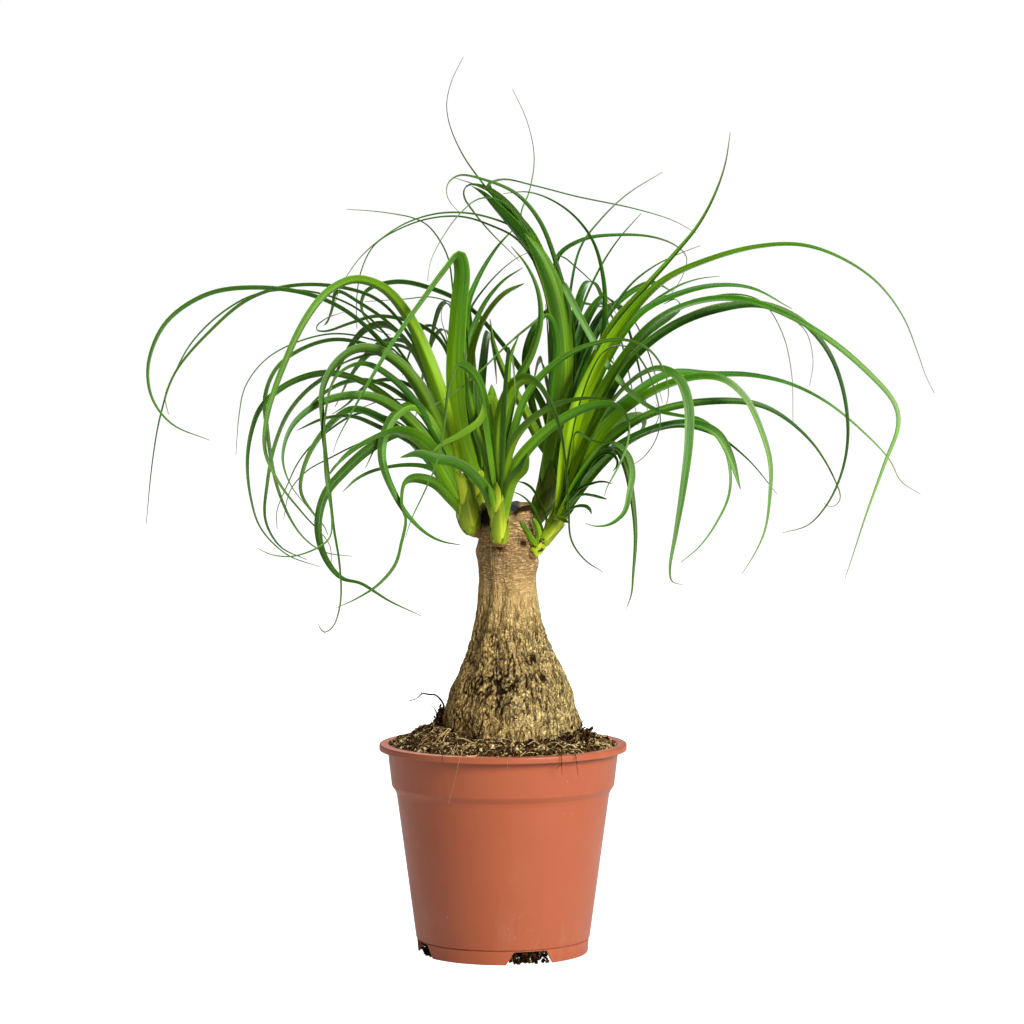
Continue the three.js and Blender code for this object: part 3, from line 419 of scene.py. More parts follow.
plastic = finish_of("terracotta_plastic", Specular_IOR_Level=0.36)
place = place_in(plastic)
height = axis(place, "Z")
cloud = grain(place, 14.0, 5.0)
scuff = grain(place, 60.0, 6.0, 0.7, (1, 1, 0.35))
smear = span(grain(place, 38.0, 6.0, 0.7, (1, 1, 0.45)), 0.56, 0.74)
low = span(height, 0.030, 0.006)
dust = span(scuff, 0.55, 0.8) * (low * 0.22 + 0.1)
dust = maths("MAXIMUM", dust, flecks_on(place, 5.5, 0.16) * 0.6)
dust = maths("MAXIMUM", dust, flecks_on(place, 2.4, 0.3) * low)
colour = layered(
    TERRACOTTA, (span(cloud, 0.35, 0.7), TERRACOTTA_PALE), (dust * 0.55, TERRACOTTA_DUST),
    (span(height, 0.122, 0.127) * smear * 0.45, SOIL_SMEAR))
dress(plastic, colour, cloud * 0.75 + scuff, 0.00035, 0.35, span(scuff, 0.3, 0.75) * 0.16 + 0.34)

pot.data.materials.append(plastic)
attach(pot, "root")
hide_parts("pot")


# The soil. Peat and bark mix that fills the pot, level at the wall and heaped against the trunk. Its
# top is a rough surface worked from noise, with crumbs, fibres and pale grains lying loose on it.
SOIL_EDGE = 123
SOIL_RISE = 12
HEAP_RUN = 28
HEAP_LEAN = 3
HEAP_TURN = np.radians(137)
SOIL_COLUMNS = 400
SOIL_ROWS = 78
SOIL_SEED = 97
SOIL_PLAY = 0.2
SOIL_LIFT = 0.3
TRUNK_MIDDLE = 5.5
WELL = 39
WALL_HEIGHTS = (FLOOR_TOP, WALL_HEIGHT, STEP_HEIGHT, COLLAR_BASE, RIM_TOP)
WALL_INSIDES = np.array([WALL_FOOT, WALL_TOP, STEP, COLLAR_FOOT, COLLAR_TOP]) - WALL
SOIL_REACH = np.interp(SOIL_EDGE, WALL_HEIGHTS, WALL_INSIDES)


def noise(place, seed):
    """Smooth noise from -1 to 1: a fixed random value at every whole-number corner of the coordinates,
    eased from corner to corner."""
    cell = np.floor(place).astype(np.int64)
    part = place - cell
    part = part * part * (3 - 2 * part)
    total = np.zeros(place.shape[:-1])
    for corner in np.ndindex(2, 2, 2):
        key = ((cell + corner) * (73856093, 19349663, 83492791)).sum(-1) + seed * 668265263
        key = (key ^ (key >> 13)) * 1274126177 & 0x7FFFFFFF
        key = (key ^ (key >> 15)) * 2246822519 & 0x7FFFFFFF
        total += np.where(corner, part, 1 - part).prod(-1) * (key / 0x3FFFFFFF - 1)
    return total


def rough_noise(place, seed, layers):
    """Noise added to itself at twice the fineness and half the strength, layer by layer."""
    return sum(noise(place * 2 ** layer, seed + layer) / 2 ** layer for layer in range(layers))


def soil_height(x, y):
    """The soil's top: level at the wall, and heaped toward the trunk by a power of how far in it is."""
    inward = np.clip((SOIL_REACH - np.hypot(x, y)) / HEAP_RUN, 0, 1)
    heap = SOIL_RISE + HEAP_LEAN * np.cos(np.arctan2(y, x) - HEAP_TURN)
    flat = places(x, y, 0.0)
    lumps = 1.3 * rough_noise(flat / 9, SOIL_SEED, 3) + 0.75 * rough_noise(flat / 2.2, SOIL_SEED + 9, 2)
    return SOIL_EDGE + heap * inward ** 0.8 + lumps * np.clip(inward * 6 + 0.35, 0, 1)


turn = circle(SOIL_COLUMNS)
out = np.linspace(WELL, SOIL_REACH - 0.15, SOIL_ROWS)[:, None]
lean = TRUNK_MIDDLE * np.clip((60 - out) / 20, 0, 1)
top_x, top_y = lean + out * np.cos(turn), out * np.sin(turn)
top = places(top_x, top_y, soil_height(top_x, top_y))
well = turned_about_axis(np.array([(30, 88), (37, 96), (WELL, 108), (WELL, 120)], float), SOIL_COLUMNS)
well[..., 0] += TRUNK_MIDDLE
side_heights = np.array([118, COLLAR_BASE, STEP_HEIGHT, WALL_HEIGHT, 60, FLOOR_TOP + SOIL_LIFT])
side = np.stack([np.interp(side_heights, WALL_HEIGHTS, WALL_INSIDES) - SOIL_PLAY, side_heights], -1)
under = np.array([
    (PAD - WALL + 2, FLOOR_TOP + SOIL_LIFT), (PAD - WALL - 0.3, GROUND + FLOOR + SOIL_LIFT)])
side = turned_about_axis(np.concatenate([side, under]), SOIL_COLUMNS)
soil = closed_skin("soil_bed", np.concatenate([well, top, side]), sharp=70)

PEAT = (0.008, 0.003, 0.0004, 1)
HUMUS = (0.085, 0.044, 0.014, 1)
BARK_DUST = (0.46, 0.30, 0.13, 1)

peat = finish_of("peat_mix", Roughness=0.92, Specular_IOR_Level=0.06)
place = place_in(peat)
coarse = grain(place, 420.0, 5.0, 0.65)
fine = grain(place, 1300.0, 4.0, 0.6)
colour = layered(PEAT, (span(coarse, 0.38, 0.66), HUMUS), (span(fine, 0.56, 0.7), BARK_DUST))
dress(peat, colour, coarse + fine, 0.0012)

soil.data.materials.append(peat)
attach(soil, "root")
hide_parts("soil")


# The trunk. One woody piece: a swollen, corky base that stores water, a neck with fine rings, and a
# flat top where it was cut. Its bark is a grid of rings pushed in and out by plates, cracks and rings.
TRUNK_RINGS = np.array([
    (82, 14, 5.5), (84, 24, 5.5), (90, 34, 5.5), (99, 40, 5.5), (112, 43.2, 5.5), (125, 44, 5.5),
    (136, 42.9, 5.6), (148.2, 39.8, 5), (159.2, 36.3, 5.2), (169.6, 31.7, 5.1), (180, 27, 4.4),
    (190.3, 22.8, 3.6), (200.1, 19.9, 3.1), (211.7, 18.2, 3.1), (225.7, 17.4, 2.9),
    (243.4, 17.8, 2.6), (258, 17.2, 2.6), (271, 16.2, 2.6), (273, 14.8, 2.6)])
TRUNK_COLUMNS = 384
TRUNK_ROWS = 236
TRUNK_FOOT = 82
TRUNK_TOP = 272.6
BARK_FOOT = 112
BASE_TOP = 130
NECK_FOOT = 190
NECK_BARK = (198, 230)
RIDGES = 11
RING_SPACING = 2.9
HOLLOW_TURN = np.radians(-101)
HOLLOW_HEIGHT = 162.5
CUT_SLOPE_TURN = np.radians(-78)
CUT_SLOPE_DEPTH = 5.0
CUT_RIM_TURN = np.radians(-45)
# Dents and bulges, each a turn in degrees, a height, a size and a depth; a dent is darkened by its depth too.
# Most dents are knots. Those at -142, -14 and -54 degrees (at 249 mm) are painted shadow: between the left
# and front shoots, beyond the cut's raised rim, and beside the right shoot's foot.
KNOTS_AND_PAINTED_SHADOWS = [(-60, 179.5, 2.6, 0.55), (-54, 168, 2.0, 0.8), (-99, 160, 2.0, 0.6), (180, 243, 5.0, -1.5),
         (0, 236, 5.5, -1.6), (-44, 266, 5.5, -2.0), (8, 258, 5.0, -1.6), (-104, 246, 2.6, 0.5),
         (-54, 249, 2.3, 0.7), (-142, 265, 5.6, 1.1), (-14, 268, 3.5, 1.0)]
BARK_SEED = 11
ROOT_SEED = 41
ROOTS = 5
ROOT_LENGTH = 34
ROOT_START = (18, 96)
ROOT_THICK = 6.5
ROOT_NARROWS = 4.8
ROOT_LEAN_OUT = 0.894
ROOT_LEAN_UP = 0.447


def smooth(value, low, high):
    """Rises from 0 to 1 between two values, easing in and out."""
    t = np.clip((value - low) / (high - low), 0, 1)
    return t * t * (3 - 2 * t)


def ring_at(height, column):
    """The trunk's radius or its middle's X at a height, from its rings."""
    return np.interp(height, TRUNK_RINGS[:, 0], TRUNK_RINGS[:, column])


def furrows(spot, scale, seed, wide):
    """Wandering grooves, 1 along the lines where smooth noise passes through zero and 0 beyond a width
    in millimetres from them: the noise divided by its own slope gives the way to the nearest line."""
    spread = spot / scale
    level = noise(spread, seed) + 0.4 * noise(spread * 2.3, seed + 1)
    slopes = [np.gradient(level, axis=way) / (np.linalg.norm(np.gradient(spot, axis=way), axis=-1) + 1e-6)
              for way in (0, 1)]
    return 1 - smooth(np.abs(level) / (np.hypot(*slopes) + 0.02), 0.1 * wide, wide)


def aside(turn, middle):
    """How far round the trunk a spot is from a given turn, in radians, the short way."""
    return (turn - middle + np.pi) % (2 * np.pi) - np.pi


def bark(turn, height):
    """How far the bark stands out, in millimetres, and how dark it is. Furrows run up the base between
    corky ridges with short cracks across them, the neck has fine rings, and a dark hollow lies in front."""
    low = 1 - smooth(height, BASE_TOP, NECK_FOOT)
    neck = smooth(height, *NECK_BARK)
    girth = ring_at(height, 1)
    spot = places(np.cos(turn) * girth, np.sin(turn) * girth, height)
    shape = 0.9 * (1 - 0.65 * neck) * np.sin(RIDGES * turn + 1.3 * np.sin(height / 13))
    shape += 0.7 * low * np.sin(height / 3.1 + 2.2 * np.sin(3 * turn))
    groove = furrows(spot, (4, 4, 17), BARK_SEED + 2, 1.0)
    thin_groove = furrows(spot, (2.7, 2.7, 11), BARK_SEED + 4, 0.75)
    across = furrows(spot, (7, 7, 4), BARK_SEED + 6, 0.8)
    patch = smooth(noise(spot / (11, 11, 15), BARK_SEED + 8), -0.35, 0.45)
    hollow = np.exp(-(aside(turn, HOLLOW_TURN) * 2) ** 2 - ((height - HOLLOW_HEIGHT) / 12) ** 2)
    rugged = 1 - 0.62 * neck
    crack = groove * rugged * (0.4 + 0.6 * patch) + 0.6 * thin_groove * (1 - 0.45 * patch) * rugged
    short = across * (0.2 + 0.5 * patch) * (low + 0.15) + 0.4 * hollow * across
    level = height + 1.3 * noise(spot / (14, 14, 9), BARK_SEED + 9)
    ring = np.sin(level * 2 * np.pi / RING_SPACING + 1.2 * noise(spot / 6, BARK_SEED + 10))
    worn = smooth(noise(spot / (7, 7, 3.5), BARK_SEED + 12), -0.15, 0.6)
    ring_cut = smooth(ring, 0.6, 1) * neck * worn
    crumbly = rough_noise(spot / 2.6, BARK_SEED + 14, 2)
    shape += -0.95 * (crack + short) - 2.4 * hollow - 0.2 * ring_cut + 0.42 * crumbly * (1 - 0.75 * neck)
    shape += 1.3 * hollow * rough_noise(spot / 2.4, BARK_SEED + 18, 2)
    dark = 0.5 * crack + 0.22 * short + 0.28 * ring_cut + 0.1 * np.clip(-crumbly, 0, 1) * (1 - 0.7 * neck)
    dark += 0.36 * hollow + 0.75 * hollow * noise(spot / 1.6, BARK_SEED + 20)
    dark += 0.9 * smooth(height, 268, 271.5) * np.exp(-(aside(turn, CUT_RIM_TURN) / 0.8) ** 2)
    # Each dent is darkened too: a real dark spot for a knot, painted shadow for the shadow spots.
    for bump_turn, bump_height, size, depth in KNOTS_AND_PAINTED_SHADOWS:
        reach = (aside(turn, np.radians(bump_turn)) * girth / 1.5) ** 2 + (height - bump_height) ** 2
        near = np.exp(-reach / size ** 2)
        shape -= depth * near
        dark += np.clip(depth, 0, 1.3) * near
    return shape * smooth(height, TRUNK_FOOT, BARK_FOOT), np.clip(dark, 0, 1)


foot_rise = np.linspace(TRUNK_FOOT, 118, 10, endpoint=False)
rise = np.concatenate([foot_rise, np.linspace(118, TRUNK_TOP, TRUNK_ROWS)])[:, None]
turn = circle(TRUNK_COLUMNS)[None]
shape, dark = bark(*np.broadcast_arrays(turn, rise))
steady = sum(ring_at(rise + shift, 1) for shift in (-3, -1, 1, 3)) / 4
radius = np.where(rise > 100, steady, ring_at(rise, 1)) + shape
middle = ring_at(rise, 2)
slope = CUT_SLOPE_DEPTH * np.exp(-(aside(turn, CUT_SLOPE_TURN) / 0.3) ** 2)
slope = slope + 1.2 * noise(places(3 * np.cos(turn), 3 * np.sin(turn), 0), 77)
bark_rise = rise - slope * smooth(rise, 250, TRUNK_TOP)
bark_grid = places(middle + radius * np.cos(turn), radius * np.sin(turn), bark_rise)

# The cut top: the last ring drawn in to the middle, with low ripples and a ragged, sloping edge.
drawn_in = np.array([0.97, 0.9, 0.8, 0.66, 0.5, 0.34, 0.18, 0.06])[:, None]
cut_x = middle[-1] + radius[-1] * drawn_in * np.cos(turn)
cut_y = radius[-1] * drawn_in * np.sin(turn)
ripples = 0.5 * rough_noise(places(cut_x, cut_y, 0) / 4, BARK_SEED + 20, 3)
cut_grid = places(cut_x, cut_y, TRUNK_TOP + ripples - slope * smooth(drawn_in, 0.1, 1))
trunk = closed_skin("trunk_bark", np.concatenate([bark_grid, cut_grid]), {
    "dark": np.concatenate([dark, np.zeros_like(cut_x)]),
    "cut": np.concatenate([np.zeros_like(dark), np.ones_like(cut_x)])}, 75)


def draws(seed):
    """An endless row of fixed draws between 0 and 1: state times 16807, modulo 2 to the 31 less 1."""
    state = seed
    while True:
        state = state * 16807 % 2147483647
        yield state / 2147483647


# The roots leave the trunk's underside and dive outward into the soil, each a bent taper.
root_draw = draws(ROOT_SEED)
root_numbers = np.array([(next(root_draw), next(root_draw)) for _ in range(ROOTS)])
root_turn = ((np.arange(ROOTS) + 0.5 * root_numbers[:, 0]) / ROOTS * 2 * np.pi)[:, None, None]
root_length = (ROOT_LENGTH * (0.8 + 0.4 * root_numbers[:, 1]))[:, None, None]
along = np.linspace(0, 1, 12)[:, None]
root_radius = ROOT_THICK - ROOT_NARROWS * along
outward = root_radius * np.sin(circle(14))
root_out = ROOT_START[0] + 0.55 * root_length * along + ROOT_LEAN_OUT * outward
root_x, root_y = swung(root_out, root_radius * np.cos(circle(14)), root_turn)
root_z = ROOT_START[1] - root_length * along * (0.9 + 0.4 * along) + ROOT_LEAN_UP * outward
roots = closed_skin("trunk_roots", places(TRUNK_MIDDLE + root_x, root_y, root_z), {"dark": 0.3, "cut": 0})

BARK_NECK = (0.47, 0.275, 0.105, 1)
BARK_NECK_PALE = (0.70, 0.465, 0.21, 1)
BARK_BASE = (0.84, 0.55, 0.19, 1)
BARK_OLIVE_LIT_SIDE = (0.88, 0.655, 0.26, 1)
BARK_SHADE = (0.135, 0.070, 0.017, 1)
BARK_LINE = (0.045, 0.024, 0.007, 1)
BARK_CRACK = (0.024, 0.011, 0.002, 1)
BARK_FLECK = (0.72, 0.60, 0.42, 1)
CUT_FACE = (0.055, 0.058, 0.052, 1)

corky = finish_of("corky_bark", Roughness=0.82, Specular_IOR_Level=0.1)
place = place_in(corky)
dark, cut = marked(corky, "dark", "cut")
rightward, height = axis(place, "X"), axis(place, "Z")
streak = grain(place, 620.0, 5.0, 0.65, (1, 1, 0.3))
band = grain(place, 560.0, 5.0, 0.7, (0.45, 0.45, 1.0))
cloud = grain(place, 60.0, 6.0, 0.65)


def wrinkles(scale, wide, stretch):
    """Thin wandering lines: 0 in a line, where cloudy noise passes through its middle, and 1 between."""
    return span(maths("ABSOLUTE", grain(place, scale, 2.0, 0.55, stretch) - 0.5), 0.0, wide)


upright = wrinkles(250.0, 0.055, (1, 1, 0.26))
fine_upright = wrinkles(520.0, 0.06, (1, 1, 0.55))
level_lines = wrinkles(260.0, 0.11, (0.16, 0.16, 1.2))
fine_level = wrinkles(560.0, 0.12, (0.3, 0.3, 1.0))
neck = span(height, 0.198, 0.236)
base_lines = upright * (fine_upright * 0.6 + 0.4) * (fine_level * 0.4 + 0.6)
neck_lines = (level_lines * 0.6 + 0.4) * fine_level
line_dark = maths(
    "MAXIMUM", (1.0 - base_lines) * span(height, 0.236, 0.196), (1.0 - neck_lines) * 0.62 * neck)
# The base turns paler and more olive towards the right, where the light falls: painted light.
base = layered(
    BARK_BASE, (span(cloud * 0.05 + rightward, 0.0, 0.06), BARK_OLIVE_LIT_SIDE),
    (span(streak, 0.5, 0.66) * 0.4, BARK_SHADE))
upper = blend(span(band, 0.3, 0.75), BARK_NECK, BARK_NECK_PALE)
colour = layered(
    base, (neck, upper), (span(cloud, 0.5, 0.34) * 0.35, BARK_SHADE),
    (flecks_on(place, 2.6, 0.42) * (neck * 0.3 + 0.6), BARK_FLECK), (line_dark * 0.95, BARK_LINE),
    (span(dark + streak * 0.6 - 0.3, 0.12, 0.62), BARK_CRACK),
    (cut * span(rightward, 0.012, 0.009), CUT_FACE))
dress(corky, colour, streak * 0.6 + (1.0 - line_dark), 0.0016)

for piece in (trunk, roots):
    piece.data.materials.append(corky)
    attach(piece, "root")
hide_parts("trunk")


# The shoots. Five leafy stems that grew round the cut: a short round stem, swollen where it sits on the
# trunk, and long strap leaves that clasp it, arch out and hang. A leaf's route is given in the upright
# plane through the pot's axis, then each point is carried along its line of sight to its depth.
SHOOTS = {
    "shoot_left": [
        (-13, -4, 254, 3.6), (-19, -5, 259, 6), (-21.5, -6, 268, 6.5), (-24, -7, 281, 5.2),
        (-27.5, -8, 294, 3.6)],
    "shoot_front": [
        (-2, -18, 249, 4), (-2, -21, 254, 5.2), (-2.5, -22.5, 264, 4.6), (-2.5, -23.5, 276, 5),
        (-1, -25, 288, 3.8)],
    "shoot_right": [
        (16.5, -8.5, 241.5, 3.4), (20, -9, 244.5, 4), (25, -9, 250.5, 3.8), (31.5, -9, 259.5, 3.8),
        (37.5, -9, 269, 3.4)],
    "shoot_back_left": [(-8, 11, 256, 4.4), (-11, 15, 265, 5.6), (-14, 18, 279, 5.2), (-16, 20, 296, 3.8)],
    "shoot_back_right": [(14, 10, 257, 4.6), (22, 13, 267, 5.6), (27.5, 15, 281, 6), (32, 17, 299, 4.8)],
}
HIDDEN_LEAVES = {
    "shoot_left": (2, 125, 160), "shoot_front": (1, -100, -80), "shoot_right": (1, 15, 45),
    "shoot_back_left": (8, 82, 135), "shoot_back_right": (9, 45, 98),
}
HIDDEN_REACH = (70, 105)
HIDDEN_RISE = (50, 62)
HIDDEN_TOP = (0.5, 0.12)
HIDDEN_WIDTH = (5, 3.5)
STRAP = 2.2
THREAD = 0.9
BLUNT = 9
TIP_WIDTH = 1.2
SAMPLE_STEP = 5
LEAF_ROLL = 42
LEAF_ROLL_SPREAD = 14
LEAF_TWIST = 26
FREE_LENGTH = 18
ROOT_LOWEST = 0.22
LOW_PLACE = 0.3
LOW_SLIM = 0.78
CLEAR_ROUNDS = 160
CLEAR_BESIDE = 1.5
CLEAR_SHARE = 0.7
CLEAR_LEAST = 1.4
PUSH = 2.2
BROAD = 11
EASE_ROUNDS = 8
BROAD_EASE_ROUNDS = 90
LEAF_SEED = 2027


def leaf(taper, width, depth, *through):
    """One leaf: how it narrows, its widest width, its tip's depth, and the points that it runs through,
    each as its place to the right and its height."""
    return {"width": width, "taper": taper, "depth": depth, "through": np.reshape(through, (-1, 2))}


strap, thread, blunt = (functools.partial(leaf, taper) for taper in (STRAP, THREAD, BLUNT))
LOW = {"low": True}
LIME = {"lime": 1, "roll": 72, "twist": -60}
LEAVES = {}
LEAVES["shoot_left"] = [
    strap(5.5, 20, -40,318, -62,356, -90,386, -115,399, -150,404, -180,400, -205,383, -216,358, -214,337,
        -202,321, -179,311),
    strap(5, 48, -38,330, -55,372, -75,396, -100,404.5, -130,405, -155,397, -178,378, -200,352, -209,326,
        -214,298, -218,260),
    thread(4.5, 76, -45,335, -65,368, -90,392, -120,402, -150,400, -172,388, -190,370, -201,350, -206,338,
        -204,327),
    thread(11.5, -42, -33,320, -44,356, -58,387, -73,404, -90,409, -106,402, -120,385, -134,356, -144,325,
        -145,304, -136,284, -122,266, -106,247, -105,235),
    strap(7.5, -88, -40,322, -57,352, -74,365, -88,367, -101,359, -110,343, -110,320, -107,290, -104,260,
        -100,234, -99.5,212, -104,197, -110,193.5, -113,199),
    strap(5, -98, -43,318, -63,345, -85,358, -102,350, -109,325, -109,290, -105,262, -107,250, -126,240.5,
        -141,241, -150,245),
    strap(5, -24, -38,325, -55,352, -72,363.5, -90,361, -105,354),
    thread(5, 62, -45,335, -66,366, -85,374, -105,376, -128,370, -145,360, -157,344, -161,326, -163,302),
    strap(6, 12, -40,325, -62,358, -85,370, -104,372.5, -124,366, -138,355, -145,338, -144,318, -137,280,
        -124,254, -110,243, -92,240),
    strap(7, -34, -42,308, -62,330, -84,346, -107,352, -130,346, -147,332, -153,318, -156,298, -154,275,
        -148,257, -132,241, -112,233.5),
    strap(5, 32, -48,312, -76,340, -100,352, -115,345, -130,329, -139,309, -144,284, -145,262, -136,246,
        -120,238),
    strap(8, -66, -42,304, -60,326, -78,337, -97,338, -115,332, -129,319, -134.5,300, -130,284, -118,268),
    blunt(6, -20, -40,296, -58,311, -75,319, -92,326, -108,325, -126,317),
    blunt(10, -96, -46,308, -62,317, -75,315, -90,307, -101,298, -107,289),
    strap(7, -76, -42,305, -62,316, -80,307, -98,291, -109,277, -113,258, -109,240, -99,227, -87,223.5,
        -70,213, -50,203.5),
    strap(7, 0, -46,300, -70,322, -92,330, -108,318, -120,299, -123.5,280, -117,268, -109,258, -107,253),
    thread(4, 38, -40,300, -60,316, -85,310, -106,300, -120,292, -130,280, -134,263),
    thread(4, 58, -50,312, -84,328, -110,314, -124,299, -132,283, -138,268, -138,257),
    blunt(5, -30, -32,284, -44,294, -60,296, -78,293, -90,287, -98,279.5),
    strap(7, -84, -31,274, -42,285, -55,288, -61,284, -62.5,272, -60,262, -62.5,248, -66,235, -76,223,
        -90,214, -102,208.5),
    strap(7, -54, -34,305, -46,327, -56,332, -66,326, -72,315, -74,303, -72,292, -64,274, -58,265, -48,255,
        -38,249.5, -26,247),
    strap(6, 18, -36,315, -52,341, -68,348, -82,345, -95,333, -104,327),
    thread(4, 44, -38,312, -54,333, -70,336, -82,332.5, -92,328),
    strap(4, 26, -36,300, -50,315, -64,319, -76,309, -84,294),
    strap(6, 84, -38,332, -54,366, -70,383, -86,394, -101,401.5, -104,391, -107,383, -109,381),
]
LEAVES["shoot_back_left"] = [
    strap(12, -60, -26,318, -29,350, -27,390, -25,415, -28,424, -36,415, -50,396, -66,373, -80,350, -92,329,
        -101,312, -104,303),
    strap(6, 64, -24,330, -36,369, -48,380, -62,385, -78,386.5, -94,382, -108,377.5, -114,379, -108,385,
        -97,389),
    thread(4, 34, -20,340, -26,390, -42,398, -60,397, -84,395.5),
    thread(5, 46, -24,345, -30,400, -34,424, -45,441, -54,446, -65,448.5, -80,450.5, -95,451.5),
    blunt(10, 8, -19,320, -20,360, -11,387, 0,400, 13,406.5),
    strap(6, 52, -21,330, -21,368, -12,393, 0,408, 12,416),
    thread(4, 72, -24,330, -22,385, -10,405, 7,421, 22,428),
    strap(6, 62, -20,340, -22,390, -16,408, -4,428, 8,441),
    thread(3.5, 24, -30,330, -34,372, -37.5,386, -36,395),
]
LEAVES["shoot_back_right"] = [
    blunt(15, 18, 38,325, 42,352, 38,390, 26,418, 10,438, -3,452.5, -12,461.5, -19,465.5),
    blunt(13, -8, 33,325, 37,355, 33,395, 23,422, 13,437),
    strap(12, 44, 35,330, 38,370, 30,412, 14,442, -4,460, -18,467, -29,470.5),
    thread(5, 30, 30,350, 26,400, 12,436, -10,447, -35,449.5, -57,444, -75,433, -88,421, -99,404, -104,390,
        -109,381),
    thread(4, 56, 32,350, 28,398, 10,432, -8,442, -25,447, -44,446, -62,440, -78,430, -86,415, -89,398,
        -89,379),
    thread(4, -16, 33,350, 30,400, 18,432, 0,456, -14,458, -26,449, -37,434, -44,420, -46,408),
    thread(6, 34, 32,350, 26,400, 14,430, 2,450, -12,467, -24,484, -32,502, -34,515, -31,529, -24,543.5),
    thread(5, 66, 33,340, 33,385, 22,422, 11,447, 16,462, 19,478, 18.5,490, 14,507, 6,524),
    strap(4.5, -4, 36,345, 40,385, 32,420, 22,445, 8,461, -10,469, -27,472, -34,466, -33,457, -27,450),
    strap(5, 74, 30,350, 28,398, 12,445, -8,464, -22,466, -24,460, -18,450, -8,438, 2,428, 10,420),
    strap(5, 88, 34,350, 34,390, 18,436, -4,459, -9,466, 0,470, 20,466, 45,459.5, 80,452, 103,445, 118,437),
    strap(5, 52, 34,350, 35,395, 33,422, 48,433, 70,436, 92,434.5, 106,429, 112,422, 109,410, 103,401),
    thread(4, -26, 33,360, 31,405, 34,423, 46,415, 60,401, 69,388),
    thread(4, 70, 34,340, 40,395, 47,428, 60,446, 76,461, 97,474),
    thread(4, 92, 36,330, 46,385, 58,414, 70,433, 84,449),
    strap(5, -58, 31,350, 30,398, 34,408, 46,388, 55,372, 66,354, 78,340, 92,330, 108,326, 120,324, 131,315,
        138,297, 138,278, 130,260, 120,246, 109,236.5),
    strap(6, 100, 25,330, 12,352, -2,372, -22,393, -45,404, -65,407.5, -83,402, -86,391, -78,379, -68,375),
    strap(7, 2, 20,316, 12,332, 2,350, -5,368, -8,385),
    strap(4.5, -44, 30,340, 33,372, 27,387, 14,379, 0,367, -14,353, -28,341, -45,330.5),
    strap(7, 46, 27,320, 29,345, 28,372, 26,394),
    strap(7, 16, 44,330, 58,362, 62,385, 61,410, 55,432, 44,447, 30,457, 15,462, 0,461),
    strap(6, 84, 22,318, 16,342, 14,364, 22,384, 38,396, 52,394, 66,391),
]
LEAVES["shoot_right"] = [
    thread(12, -20, 42,319, 56,354, 74,384, 97,408, 125,421, 155,429, 182,430, 206,422, 228,407, 244,386,
        253,364, 258,350, 263,340) | LIME,
    thread(9, 18, 41,317, 51,351, 67,382, 87,405, 104,424, 118,441, 128,459, 135,479, 138,498),
    strap(7, 42, 48,320, 62,358, 83,388, 106,400, 130,405.5, 152,403.5, 176,391),
    strap(9.5, -44, 50,318, 68,354, 91,383, 115,395, 142,397.5, 170,389, 198,373, 222,353, 239,333, 241,320,
        233,297, 222,266, 213,238, 209,226),
    strap(7, 24, 54,318, 78,360, 104,381, 130,391, 156,394, 180,385, 197,367, 207,343, 210.5,315, 207,292,
        198,272, 186,259, 171,254.5),
    thread(4.5, 66, 52,326, 80,371, 112,393, 140,400, 158,395, 170,377, 176,352, 177,320),
    thread(4, 84, 56,322, 84,366, 114,388, 144,395, 168,389, 184,378, 189,360, 187,344),
    strap(6, 56, 54,314, 78,338, 102,352, 128,351.5, 150,351, 175,345.5, 198,334, 220,316, 236,299, 243,286,
        255,278),
    strap(8.5, -6, 50,302, 70,327, 95,343, 120,350, 135,348, 148,337, 157,319, 163,298, 163,278, 160,256,
        154,242, 146,229),
    strap(7, 36, 52,298, 75,319, 98,330, 128,335, 153,333.5, 170,326, 190,308, 203,286, 206,275, 201,270,
        196,272.5),
    blunt(7, -58, 50,292, 72,310, 96,320, 116,322, 130,316, 138,303, 145,281),
    strap(9, -84, 50,308, 68,338, 84,352, 96,355, 107,349, 113,334, 113.5,312, 110,282, 105.5,254, 102,232,
        103.5,224.5, 110,223),
    strap(7, -70, 46,290, 59,305, 69,306, 75,295, 79,275, 81,252, 79.5,228, 78.5,217, 75.5,208),
    strap(6, -98, 48,294, 64,310, 75,304, 79,292, 77,278, 74,267, 66,260, 57,258.5, 50,260.5),
    blunt(8, 14, 46,293, 57,309, 72,322, 85,325, 86,319, 78,311),
    strap(6, -36, 48,287, 58,301, 66,303, 70,297, 67,292),
    thread(3.5, -50, 42,300, 44,316, 54,311, 66,309, 78,311, 90,317, 95,326, 93,334),
    thread(4, -76, 46,332, 62,366, 76,368, 86,357, 93,340, 96,322, 92,309, 85,300, 79,296),
    blunt(4, 84, 44,340, 62,385, 76,400, 91,407, 103,401.5),
    thread(4, 80, 44,345, 65,388, 78,406, 92,417, 106,424, 120,429.5),
    strap(5, 72, 52,340, 80,385, 103,403, 118,409, 132,411),
    strap(5, 96, 58,336, 84,372, 102,386, 108,392, 105,397, 98,394),
    blunt(4, -24, 46,281, 52,284, 60,286, 66.5,284.5),
    blunt(4, -38, 46,277, 52,278, 58,276.5, 63.5,275),
    blunt(3.5, -30, 41,269, 47,271, 52,270, 54,266),
    blunt(3.5, -22, 31,264, 36,263, 40,260.5),
    blunt(LOW_SLIM * 5, -17, 18.5,249, 15,255, 10.5,262) | LOW,
    blunt(LOW_SLIM * 5, -15, 22,253, 20.5,259, 18,263.5) | LOW,
    strap(LOW_SLIM * 6, -4, 24,256, 21,264, 17,272, 12,277, 5,280) | LOW,
    blunt(LOW_SLIM * 5, 2, 27,262, 24,271, 20,279, 15,284, 9,286) | LOW,
]
